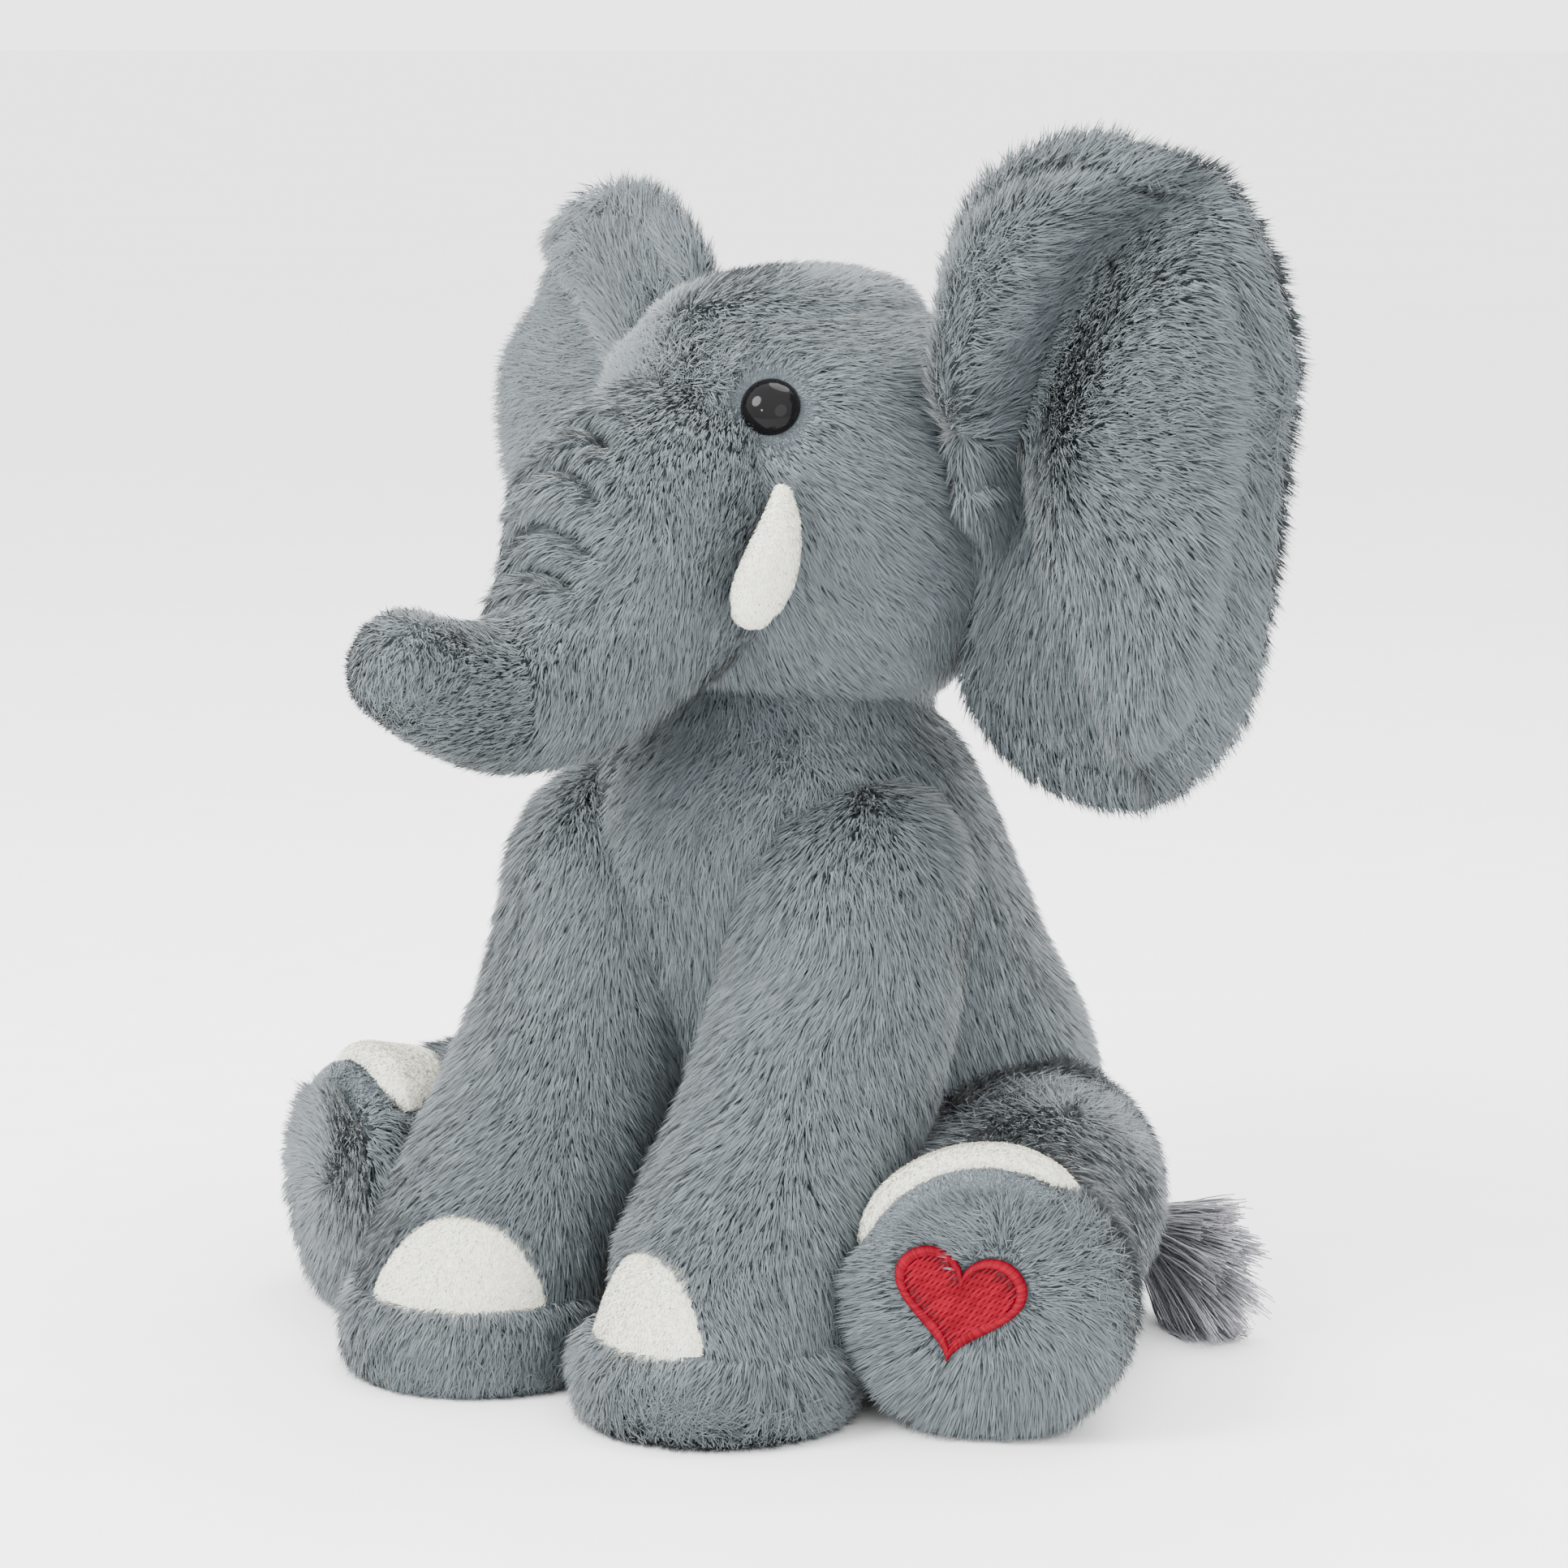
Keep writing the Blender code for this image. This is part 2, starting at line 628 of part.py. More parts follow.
def fill_sheet(bm, middle, rows):
    centre = bm.verts.new(middle)
    grid = [[bm.verts.new(p) for p in row] for row in rows]
    count = len(grid[0])
    for i in range(count):
        j = (i + 1) % count
        bm.faces.new((centre, grid[0][i], grid[0][j]))
        for inner, outer in zip(grid, grid[1:]):
            bm.faces.new((inner[i], outer[i], outer[j], inner[j]))
    return grid[-1]


def build_ear(side, sign, frame):
    root = Vector((EAR_ROOT.x * sign, EAR_ROOT.y, EAR_ROOT.z))
    hinge = add_empty(f"{side}_ear_root", root, (0, 0, EAR_SWEEP * sign), frame)
    for panel, facing in (("front", 1), ("back", -1)):
        name = f"{side}_ear_{panel}"
        bm = bmesh.new()
        fill_sheet(bm, *ear_sheet(sign, facing))
        bm.normal_update()
        total = sum(f.normal.y * f.calc_area() for f in bm.faces)
        if total * facing > 0:
            bmesh.ops.reverse_faces(bm, faces=bm.faces)
        mesh = bpy.data.meshes.new(name)
        bm.to_mesh(mesh)
        bm.free()
        mesh.shade_smooth()
        thicken(add_object(name, mesh, hinge, FUR_LOOK), EAR_PANEL)
    name = f"{side}_ear_wadding"
    bm = bmesh.new()
    front = fill_sheet(bm, *ear_sheet(sign, 1, WADDING_INSET, WADDING_REACH))
    back = fill_sheet(bm, *ear_sheet(sign, -1, WADDING_INSET, WADDING_REACH))
    for i in range(EAR_SPOKES):
        j = (i + 1) % EAR_SPOKES
        bm.faces.new((front[i], front[j], back[j], back[i]))
    add_object(name, mesh_from(bm, name), hinge, FILL_LOOK)


# ---------------------------------------------------------------- heart and tail
def build_heart():
    """The embroidered heart on the left hind sole, on the textbook heart curve."""
    hip = bpy.data.objects["left_hip"]
    curve = bpy.data.curves.new("heart_embroidery", "CURVE")
    curve.dimensions = "2D"
    curve.fill_mode = "BOTH"
    curve.extrude = HEART_THICKNESS / 2
    spline = curve.splines.new("POLY")
    count = 40
    spline.points.add(count - 1)
    scale = HEART_WIDTH / 32
    for i, point in enumerate(spline.points):
        t = 2 * math.pi * i / count
        x = 16 * math.sin(t) ** 3
        y = 13 * math.cos(t) - 5 * math.cos(2 * t) - 2 * math.cos(3 * t) - math.cos(4 * t) + 2.5
        point.co = (x * scale, y * scale, 0, 1)
    spline.use_cyclic_u = True
    heart = add_object("heart_embroidery", curve, hip)
    curve.materials.append(material("heart_embroidery", HEART_RED, 0.55))
    sole_face = LEG[-1][0] + GAP + LEG_SOLE[1]
    flat = Matrix.Rotation(math.pi, 4, "X") @ Matrix.Rotation(HEART_TILT, 4, "Z")
    down = LEG[-1][1]
    heart.location = (-HEART_OFFSET, -down, -sole_face - HEART_THICKNESS / 2 - GAP)
    heart.rotation_euler = flat.to_euler()


def build_tail():
    root = Vector(TAIL_ROUTE[0])
    hinge = add_empty("tail_root", root)
    route = [p - root for p in smooth_route(TAIL_ROUTE, 3)]
    tube("tail_cord", route, TAIL_CORD_RADIUS, hinge, (GREY_FUR, 0.95), 2)
    run = (TASSEL_END - TASSEL_ROOT).normalized()
    across = run.cross(Z).normalized()
    up = run.cross(across).normalized()
    turn = Matrix((across, up, run)).transposed().to_euler()
    bind = add_empty("tassel_root", TASSEL_ROOT - root, turn, hinge)
    length = (TASSEL_END - TASSEL_ROOT).length
    rings = [ring(Z * (TASSEL_START + (length - TASSEL_START) * i / 3), X, Y, r, r * 0.8)
             for i, r in enumerate(TASSEL_RADII)]
    soft_piece("tail_tassel", rings, Z * TASSEL_START, Z * length, bind, (YARN, 0.9))
    low, high, inner, outer = BINDING
    turned("tail_binding", [(inner, high), (outer, high), (outer, low), (inner, low), (inner, high)],
           bind, (YARN, 0.9), 16)


def build():
    seats = build_limbs()
    build_torso(seats)
    frame = head_frame()
    head_skin, head_core, trunk_skin = build_head(frame)
    build_wrinkles(frame, trunk_skin)
    for side, sign in (("left", 1), ("right", -1)):
        build_eye(side, sign, frame, head_skin, head_core)
        build_tusk(side, sign, frame)
        build_ear(side, sign, frame)
    build_heart()
    build_tail()


build()
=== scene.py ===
"""A sitting stuffed elephant in blue-grey plush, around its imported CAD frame.

Metres, +Z up, the elephant faces -Y and its left is +X. Every stuffed form is a
lofted skin, and its pile is grown on it as real tapered strands.
"""
import math

import bpy
import numpy as np
from mathutils import Matrix, Vector
from mathutils.bvhtree import BVHTree
from mathutils.kdtree import KDTree


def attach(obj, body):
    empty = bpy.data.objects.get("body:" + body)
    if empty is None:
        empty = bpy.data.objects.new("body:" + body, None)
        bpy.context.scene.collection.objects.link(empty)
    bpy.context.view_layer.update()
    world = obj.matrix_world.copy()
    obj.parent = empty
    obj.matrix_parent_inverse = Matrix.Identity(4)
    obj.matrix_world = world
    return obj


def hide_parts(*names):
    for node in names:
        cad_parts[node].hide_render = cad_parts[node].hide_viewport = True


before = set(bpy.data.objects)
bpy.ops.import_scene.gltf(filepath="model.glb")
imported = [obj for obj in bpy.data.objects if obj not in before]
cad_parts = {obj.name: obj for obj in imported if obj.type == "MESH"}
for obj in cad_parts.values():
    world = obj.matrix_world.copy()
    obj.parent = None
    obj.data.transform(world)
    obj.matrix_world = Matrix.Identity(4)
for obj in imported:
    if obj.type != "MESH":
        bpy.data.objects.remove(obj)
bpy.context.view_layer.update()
SIDES = (("left", 1), ("right", -1))

# ---- torso: (height, centre y, half width, half depth), seat to neck ----
TORSO = [
    (0.0004, 0.010, 0.046, 0.045), (0.014, 0.012, 0.054, 0.053), (0.040, 0.013, 0.060, 0.059),
    (0.068, 0.010, 0.058, 0.057), (0.095, -0.001, 0.052, 0.051), (0.122, -0.011, 0.047, 0.047),
    (0.140, -0.014, 0.040, 0.040), (0.152, -0.015, 0.032, 0.032), (0.166, -0.014, 0.026, 0.026),
]
# ---- head, in its own frame: (height, centre y, half width, half depth) ----
HEAD_CENTRE = Vector((0.0, -0.012, 0.205))
HEAD_TURN = Matrix.Rotation(math.radians(-12), 4, "Z") @ Matrix.Rotation(math.radians(-6), 4, "Y")
HEAD = [
    (-0.0495, 0.004, 0.026, 0.026), (-0.041, 0.002, 0.036, 0.036), (-0.022, 0.0, 0.0445, 0.045),
    (0.002, 0.0, 0.0465, 0.048), (0.024, 0.0, 0.0415, 0.044), (0.040, 0.001, 0.029, 0.032),
]
# ---- trunk, in the head's frame: (y, z, half width, half height) ----
TRUNK = [
    (-0.020, -0.004, 0.031, 0.033), (-0.037, -0.0065, 0.031, 0.0335), (-0.0505, -0.0150, 0.0295, 0.0310),
    (-0.0605, -0.0262, 0.0250, 0.0240), (-0.0755, -0.0370, 0.0200, 0.0190), (-0.092, -0.0412, 0.0158, 0.0152),
    (-0.108, -0.0385, 0.0135, 0.0130), (-0.1205, -0.0325, 0.0112, 0.0112),
]
# tucks on the trunk's bridge: (y, z, tilt, half angle), degrees
WRINKLES = [(-0.048, -0.014, 68, 15), (-0.055, -0.018, 61, 24), (-0.061, -0.022, 53, 32),
            (-0.067, -0.026, 45, 34)]
TUCK_STEPS = 12
TUCK_DEPTH, TUCK_SPREAD = 0.0036, 0.0021
# the cushion that stands up beside a tuck: height, distance from it, spread
CUSHION_RISE, CUSHION_OFF, CUSHION_SPREAD = 0.0018, 0.0050, 0.0024
TUCK_THREAD_RADIUS, TUCK_THREAD_SUNK = 0.00035, 0.0034
TRUNK_CORE = Vector((0, -0.060, -0.022))
# ---- left eye, in the head's frame ----
EYE_TOWARDS = Vector((0.0332, -0.0352, 0.0226))
EYE_RADIUS = 0.0070
EYE_RIM, EYE_DOME = 0.0010, 0.0048  # height of the rim, and of the dome on it
SOCKET_DEPTH, BROW_RISE = 0.0030, 0.0026
SOCKET_SPREAD = 0.0085
BROW_ABOVE = np.array((0, 0, 0.0125))
BROW_SHAPE = (0.75, 0.75, 1.5)
# ---- left tusk, in the head's frame: (x, y, z, radius) ----
TUSK = [
    (0.0400, -0.0385, 0.0000, 0.0024), (0.0425, -0.0415, -0.0055, 0.0044),
    (0.0432, -0.0450, -0.0125, 0.0062), (0.0425, -0.0480, -0.0190, 0.0070),
    (0.0412, -0.0500, -0.0238, 0.0064), (0.0405, -0.0512, -0.0268, 0.0048),
]
TUSK_FLATTENED = 0.80
# ---- ear, in its own frame: outline of (outwards, up) ----
EAR_ROOT = Vector((0.0430, 0.0160, 0.0))
EAR_SWEEP = math.radians(11)
EAR_MIDDLE = np.array((0.042, 0.0))
EAR_OUTLINE = [
    (0.084, 0.000), (0.088, 0.030), (0.074, 0.062), (0.048, 0.073), (0.022, 0.066),
    (0.008, 0.042), (0.004, 0.012), (0.002, -0.020), (-0.004, -0.048), (0.012, -0.068),
    (0.040, -0.075), (0.066, -0.060), (0.078, -0.030),
]
# by side, 1 for the left: the right ear's peak is higher and its lip is flatter
EAR_OUTLINES = {1: EAR_OUTLINE, -1: EAR_OUTLINE[:3] + [
    (0.048, 0.076), (0.020, 0.0735), (-0.004, 0.058), (-0.008, 0.030), (-0.002, -0.010)] + EAR_OUTLINE[8:]}
LIP_RISE = {1: 0.0190, -1: 0.0085}
PANEL_RISE, LOBE_RISE = 0.0125, -0.0085
EAR_EDGE, EAR_PLUMP = 0.0010, 0.0048  # half thickness at the rim, and what the middle adds
EAR_SEAM = 0.90  # the seam inside the rim, as a share of the way out
# lines on the front panel: the lip's inner edge, and the fold above the lower lobe
LIP_EDGE = [(0.074, 0.064), (0.058, 0.060), (0.044, 0.052), (0.032, 0.038), (0.022, 0.020), (0.014, 0.000)]
FOLD_EDGE = [(0.016, 0.020), (0.024, 0.000), (0.032, -0.020), (0.040, -0.042), (0.046, -0.064),
             (0.048, -0.080)]
# ---- limbs: (along, toe, half side, half depth) from the sewn root; soles: (radius, thickness) ----
ARM_ROOT = Vector((0.035, -0.036, 0.112))
ARM = [
    (0.000, 0.000, 0.024, 0.024), (0.022, 0.006, 0.025, 0.0255), (0.045, 0.018, 0.026, 0.0275),
    (0.062, 0.031, 0.0265, 0.0285), (0.080, 0.045, 0.0265, 0.0285), (0.097, 0.054, 0.027, 0.028),
]
ARM_SOLE = (0.0300, 0.0140)
LEG_ROOT = Vector((0.058, 0.004, 0.0365))
LEG_SPLAY = math.radians(27)
LEG = [
    (0.000, 0.000, 0.030, 0.030), (0.022, 0.000, 0.029, 0.029), (0.045, -0.003, 0.027, 0.0275),
    (0.063, -0.005, 0.0285, 0.0285), (0.074, -0.0052, 0.0305, 0.0305),
]
LEG_SOLE = (0.0300, 0.0100)
# ---- heart and tail ----
HEART_WIDTH = 0.031
HEART_TILT = math.radians(-10)
HEART_OFFSET = 0.0060
HEART_RISE = 0.0030  # of its ground above the sole
FILL_SLANT = math.radians(52)
FILL_PITCH, FILL_STITCH, FILL_RADIUS = 0.00046, 0.0040, 0.00030
FILL_REACH = 0.91  # the share of the heart inside its border
BORDER_STITCHES, BORDER_WIDTH, BORDER_RADIUS = 330, 0.0026, 0.00027
TAIL_ROUTE = [
    (0.000, 0.0765, 0.038), (0.005, 0.0850, 0.038), (0.021, 0.0865, 0.036),
    (0.038, 0.0800, 0.032), (0.051, 0.0670, 0.027), (0.058, 0.0555, 0.023),
    (0.0612, 0.0475, 0.0212),
]
TASSEL_ROOT = Vector((0.0620, 0.0465, 0.0210))
TASSEL_END = Vector((0.0920, 0.0340, 0.0150))

CORD_RADIUS = 0.0030
WINDS, WIND_START, WIND_PITCH, WIND_REACH, WIND_RADIUS = 5, 0.0062, 0.0006, 0.0052, 0.00042
YARN_COUNT = 1500
YARN_BUNDLES = 46

X, Y, Z = np.eye(3)
FLOOR_GAP = 0.0004  # the lowest that the torso and any pile reach
CAST_FROM = 0.2  # a start outside the head for a ray towards its centre


# ==== materials
def principled(name, colour, roughness, **sockets):
    mat = bpy.data.materials.new(name)
    mat.use_nodes = True
    shader = mat.node_tree.nodes["Principled BSDF"]
    shader.inputs["Base Color"].default_value = (*colour, 1)
    shader.inputs["Roughness"].default_value = roughness
    for socket, value in sockets.items():
        shader.inputs[socket.replace("_", " ")].default_value = value
    return mat


RELIEF_DEPTH = 0.0006
BROAD_SCALE = 0.06  # of the broad noise, as a share of the fine one's
FINE_SHARE, BROAD_SHARE = 0.6, 0.4  # of the two noises in a cloth's colour
COLOUR_FROM, COLOUR_TO = 0.32, 0.68  # where the noise reaches a cloth's two colours


def woven(name, low, high, roughness, scale, bump, **sockets):
    """A cloth whose colour wanders at two scales, with relief from the finer one."""
    mat = principled(name, low, roughness, **sockets)
    nodes, link = mat.node_tree.nodes, mat.node_tree.links.new
    shader = nodes["Principled BSDF"]
    place = nodes.new("ShaderNodeTexCoord")
    fine, broad = nodes.new("ShaderNodeTexNoise"), nodes.new("ShaderNodeTexNoise")
    for noise, size, detail in ((fine, scale, 6.0), (broad, scale * BROAD_SCALE, 3.0)):
        noise.inputs["Scale"].default_value = size
        noise.inputs["Detail"].default_value = detail
        link(place.outputs["Object"], noise.inputs["Vector"])
    both = nodes.new("ShaderNodeMath")
    both.operation = "MULTIPLY_ADD"
    both.inputs[1].default_value = FINE_SHARE
    link(fine.outputs["Fac"], both.inputs[0])
    part = nodes.new("ShaderNodeMath")
    part.operation = "MULTIPLY"
    part.inputs[1].default_value = BROAD_SHARE
    link(broad.outputs["Fac"], part.inputs[0])
    link(part.outputs[0], both.inputs[2])
    ramp = nodes.new("ShaderNodeValToRGB")
    for stop, position, colour in zip(ramp.color_ramp.elements, (COLOUR_FROM, COLOUR_TO), (low, high)):
        stop.position, stop.color = position, (*colour, 1)
    link(both.outputs[0], ramp.inputs["Fac"])
    link(ramp.outputs["Color"], shader.inputs["Base Color"])
    relief = nodes.new("ShaderNodeBump")
    relief.inputs["Strength"].default_value = bump
    relief.inputs["Distance"].default_value = RELIEF_DEPTH
    link(fine.outputs["Fac"], relief.inputs["Height"])
    link(relief.outputs["Normal"], shader.inputs["Normal"])
    return mat


# the plush's backing is painted dark, as shade deep in the pile where it shows between strands
BACKING = woven("plush_backing_painted_shade", (0.044, 0.056, 0.064), (0.058, 0.072, 0.080), 0.95, 1400, 0.5)
WHITE_BACKING = woven("minky_backing", (0.62, 0.615, 0.525), (0.70, 0.695, 0.605), 0.9, 1600, 0.4)
EYE = woven("polished_eye", (0.0025, 0.0025, 0.0028), (0.006, 0.0055, 0.006), 0.07, 90, 0.0, IOR=1.20)
HEART_BASE = woven("heart_ground", (0.075, 0.0006, 0.0045), (0.105, 0.0010, 0.0065), 0.8, 1800, 0.5)
# the tucks' thread is a real stitch; its dark colour is also painted shade in the tucks' grooves
SHADED_TUCK_THREAD = woven("tuck_thread_painted_shade", (0.030, 0.034, 0.040), (0.060, 0.066, 0.074), 0.8, 3000, 0.4)


def shades(name, roughness, tones, **sockets):
    return [principled(f"{name}_{i}", tone, roughness, **sockets) for i, tone in enumerate(tones)]


# the looks of a pile are its undercoat's tones and then as many of its topcoat's; the undercoat's darker
# tones are painted shade deep in the pile, the topcoat's paler ones painted light on the tips
FUR_SHEEN = {"Sheen_Weight": 0.25, "Sheen_Roughness": 0.5}
FUR = shades("fur_undercoat_painted_shade", 0.62, [
    (0.042, 0.054, 0.062), (0.050, 0.064, 0.072), (0.058, 0.073, 0.081)], **FUR_SHEEN)
FUR += shades("fur_topcoat_painted_light", 0.62, [
    (0.058, 0.072, 0.080), (0.072, 0.089, 0.098), (0.094, 0.114, 0.124)], **FUR_SHEEN)
# the first three are the undercoat's darker tones, painted shade deep in the short pile, the last three the
# topcoat's paler ones, painted light on the tips
MINKY = shades("minky", 0.75, [
    (0.66, 0.660, 0.565), (0.68, 0.680, 0.585), (0.70, 0.700, 0.605),
    (0.70, 0.700, 0.610), (0.73, 0.730, 0.640), (0.76, 0.760, 0.670)], Sheen_Weight=0.2)
YARN = shades("yarn", 0.6, [
    (0.200, 0.200, 0.224), (0.290, 0.287, 0.315), (0.400, 0.393, 0.418)], Sheen_Weight=0.3)
HEART_THREAD = shades("heart_thread", 0.55, [
    (0.155, 0.0012, 0.0085), (0.190, 0.0018, 0.0110), (0.125, 0.0010, 0.0065)], IOR=1.18)


# ==== meshes
def turned(vectors, matrix):
    return np.asarray(vectors) @ np.array(matrix)[:3, :3].T


def moved(points, matrix):
    return turned(points, matrix) + np.array(matrix)[:3, 3]


def mirrored(vector, sign):
    return Vector((vector.x * sign, vector.y, vector.z))


def catmull_rom(a, b, c, d, t):
    return 0.5 * (2 * b + (c - a) * t + (2 * a - 5 * b + 4 * c - d) * t ** 2
                  + (3 * b - a - 3 * c + d) * t ** 3)


def spline(rows, count):
    """Rows of numbers, read again at evenly spaced places of a smooth curve through them."""
    rows = np.asarray(rows, float)
    last = len(rows) - 1
    at = np.linspace(0, last, count)
    i = np.minimum(at.astype(int), last - 1)
    t = (at - i)[:, None]
    return catmull_rom(rows[np.maximum(i - 1, 0)], rows[i], rows[i + 1], rows[np.minimum(i + 2, last)], t)


def closed_spline(rows, at):
    """Points of a smooth closed curve; one lap is at 0 to 1."""
    rows = np.asarray(rows, float)
    n = len(rows)
    place = (np.asarray(at) % 1.0) * n
    i = place.astype(int) % n
    t = (place - np.floor(place))[:, None]
    return catmull_rom(rows[(i - 1) % n], rows[i], rows[(i + 1) % n], rows[(i + 2) % n], t)


def ease(low, high, value):
    """0 at low and 1 at high, smoothly between; low may be the greater."""
    t = np.clip((np.asarray(value, float) - low) / (high - low), 0, 1)
    return t * t * (3 - 2 * t)


def ring_row(centre, right, up, half_right, half_up):
    """One ring of a loft: its centre, its two axes and its half width along each."""
    return [*centre, *right, *up, half_right, half_up]


CAP_STEPS = 10
CAP_TIP = 0.02  # the last ring of a rounded end, as a share of the first


def loft(rings, start, end, rows, around):
    """Points of a closed form through its rings; start and end are how far its ends round off."""
    line = spline(rings, rows)
    caps = []
    for height, here, there in ((start, line[0], line[1]), (end, line[-1], line[-2])):
        out = here[:3] - there[:3]
        out /= np.linalg.norm(out)
        cap = []
        for k in range(1, CAP_STEPS + 1):
            angle = math.pi / 2 * k / CAP_STEPS
            row = here.copy()
            row[:3] += out * height * math.sin(angle)
            row[9:] *= max(math.cos(angle), CAP_TIP)
            cap.append(row)
        caps.append(cap)
    line = np.array(caps[0][::-1] + list(line) + caps[1])
    angle = np.linspace(0, 2 * math.pi, around, endpoint=False)
    centre, right, up = line[:, None, :3], line[:, None, 3:6], line[:, None, 6:9]
    return (centre + right * (line[:, 9, None, None] * np.cos(angle)[None, :, None])
            + up * (line[:, 10, None, None] * np.sin(angle)[None, :, None]))


def grid_form(grid):
    """Vertices and triangles of a grid that closes round its columns and at both ends."""
    rows, around = grid.shape[:2]
    points = grid.reshape(-1, 3)
    i, j = np.meshgrid(np.arange(rows - 1), np.arange(around), indexing="ij")
    a, b = i * around + j, i * around + (j + 1) % around
    c, d = b + around, a + around
    tris = np.concatenate([np.stack([a, b, c], -1).reshape(-1, 3), np.stack([a, c, d], -1).reshape(-1, 3)])
    low, high = len(points), len(points) + 1
    points = np.concatenate([points, grid[0].mean(0)[None], grid[-1].mean(0)[None]])
    j = np.arange(around)
    k = (j + 1) % around
    top = (rows - 1) * around
    tris = np.concatenate([tris, np.stack([np.full(around, low), k, j], -1),
                           np.stack([np.full(around, high), top + j, top + k], -1)])
    return outward(points, tris)


def outward(points, tris):
    """The form with its triangles facing out."""
    a, b, c = (points[tris[:, k]] for k in range(3))
    if np.einsum("ij,ij->i", a, np.cross(b, c)).sum() < 0:
        tris = tris[:, ::-1]
    return points, np.ascontiguousarray(tris)


def vertex_normals(points, tris):
    a, b, c = (points[tris[:, k]] for k in range(3))
    face = np.cross(b - a, c - a)
    normals = np.zeros_like(points)
    for k in range(3):
        np.add.at(normals, tris[:, k], face)
    return normals / np.maximum(np.linalg.norm(normals, axis=1, keepdims=True), 1e-12)


def add_mesh(name, points, faces, looks, index=None):
    """A mesh object from arrays; faces is one array, or several of different widths."""
    faces = [faces] if isinstance(faces, np.ndarray) else faces
    points = np.array(points, float)
    points[:, 2] = np.maximum(points[:, 2], 0)  # nothing reaches below the floor
    mesh = bpy.data.meshes.new(name)
    mesh.vertices.add(len(points))
    mesh.vertices.foreach_set("co", points.astype(np.float32).ravel())
    sizes = np.concatenate([np.full(len(f), f.shape[1]) for f in faces])
    mesh.loops.add(int(sizes.sum()))
    mesh.loops.foreach_set("vertex_index", np.concatenate([f.ravel() for f in faces]).astype(np.int32))
    mesh.polygons.add(len(sizes))
    mesh.polygons.foreach_set("loop_start", np.concatenate([[0], np.cumsum(sizes)[:-1]]).astype(np.int32))
    if index is not None:
        mesh.polygons.foreach_set("material_index", np.asarray(index, np.int32))
    mesh.polygons.foreach_set("use_smooth", np.ones(len(sizes), bool))
    mesh.update(calc_edges=True)
    for look in looks if isinstance(looks, list) else [looks]:
        mesh.materials.append(look)
    obj = bpy.data.objects.new(name, mesh)
    bpy.context.scene.collection.objects.link(obj)
    return obj


def set_normals(mesh, normals):
    """Shading normals of a mesh's points."""
    layer = mesh.attributes.new("custom_normal", "FLOAT_VECTOR", "POINT")
    layer.data.foreach_set("vector", np.asarray(normals, np.float32).ravel())
    mesh.update()


def dress(obj, body, replaced=()):
    """An object's body, and the CAD nodes that it stands in for, which are hidden."""
    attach(obj, body)
    if replaced:
        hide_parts(*replaced)
    return obj


def mesh_form(obj):
    """The vertices and triangles of a mesh object that is already in world coordinates."""
    mesh = obj.data
    mesh.calc_loop_triangles()
    points = np.empty(len(mesh.vertices) * 3)
    mesh.vertices.foreach_get("co", points)
    tris = np.empty(len(mesh.loop_triangles) * 3, np.int32)
    mesh.loop_triangles.foreach_get("vertices", tris)
    return points.reshape(-1, 3), tris.reshape(-1, 3)


def face_along(direction):
    """A turn that takes +Z to a direction."""
    return Vector((0, 0, 1)).rotation_difference(direction).to_matrix().to_4x4()


def tree_of(form):
    points, tris = form
    return BVHTree.FromPolygons(points.tolist(), tris.tolist())


def obstacle(form):
    points = form[0]
    return tree_of(form), (points.min(0), points.max(0))


def inside(block, points, margin):
    """Which points lie deeper than margin in an obstacle."""
    tree, (low, high) = block
    hit = np.zeros(len(points), bool)
    for i in np.where(((points > low) & (points < high)).all(1))[0]:
        place, normal, _, distance = tree.find_nearest(points[i])
        hit[i] = distance > margin and (Vector(points[i]) - place).dot(normal) < 0
    return hit


def kd_of(points):
    tree = KDTree(len(points))
    for n, point in enumerate(points):
        tree.insert(point, n)
    tree.balance()
    return tree


def near(points, spots):
    """Distance of each point to its nearest spot."""
    tree = kd_of(spots)
    return np.fromiter((tree.find(p)[2] for p in points), float, len(points))


# ==== pile
MM2_PER_M2 = 1e6
SHORTEST = 0.02  # a strand under this share of its length is left out
HIDDEN_DEPTH = 0.0045  # and so is one rooted deeper than this in a neighbour
ROOT_DEPTH = 0.0004
SWAY_WAVES, SWAY_HEIGHT, SWAY_PHASE, SWAY_SIZE = 5, 0.45, 6.28, 0.012
SWAY_SHARE = 0.35
TOPCOAT_SHARE, UNDERCOAT_LENGTH = 0.62, 0.74
BEND_SHARES = (0.45, 0.55)  # of a strand's length, below and above its bend
TUFT = 16  # strands to a tuft
KNEE_PULL = 0.3  # of a bend into its tuft, against the tip's
LIT_BY_FORM, LIT_BY_STRAND, LIT_BY_COMB = 0.75, 0.40, 0.10


def sway(points, seed):
    """A smooth wandering field of vectors, so that the pile is never combed straight."""
    rng = np.random.default_rng(seed)
    total = np.zeros_like(points)
    for _ in range(SWAY_WAVES):
        wave = rng.normal(0, 1 / SWAY_SIZE, (3, 3))
        total += np.sin(points @ wave + rng.uniform(0, SWAY_PHASE, 3)) * SWAY_HEIGHT
    return total


def unit(v):
    return v / np.maximum(np.linalg.norm(v, axis=1, keepdims=True), 1e-9)


def scatter(form, density, rng):
    """Random points on a form, density to the square millimetre, with its normals there."""
    points, tris = form
    normals = vertex_normals(points, tris)
    a, b, c = (points[tris[:, k]] for k in range(3))
    area = np.linalg.norm(np.cross(b - a, c - a), axis=1) / 2
    count = int(area.sum() * MM2_PER_M2 * density)
    pick = rng.choice(len(tris), count, p=area / area.sum())
    u, v = rng.random(count), rng.random(count)
    flip = u + v > 1
    u[flip], v[flip] = 1 - u[flip], 1 - v[flip]
    weights = np.stack([1 - u - v, u, v], -1)[:, :, None]
    return (points[tris[pick]] * weights).sum(1), unit((normals[tris[pick]] * weights).sum(1))


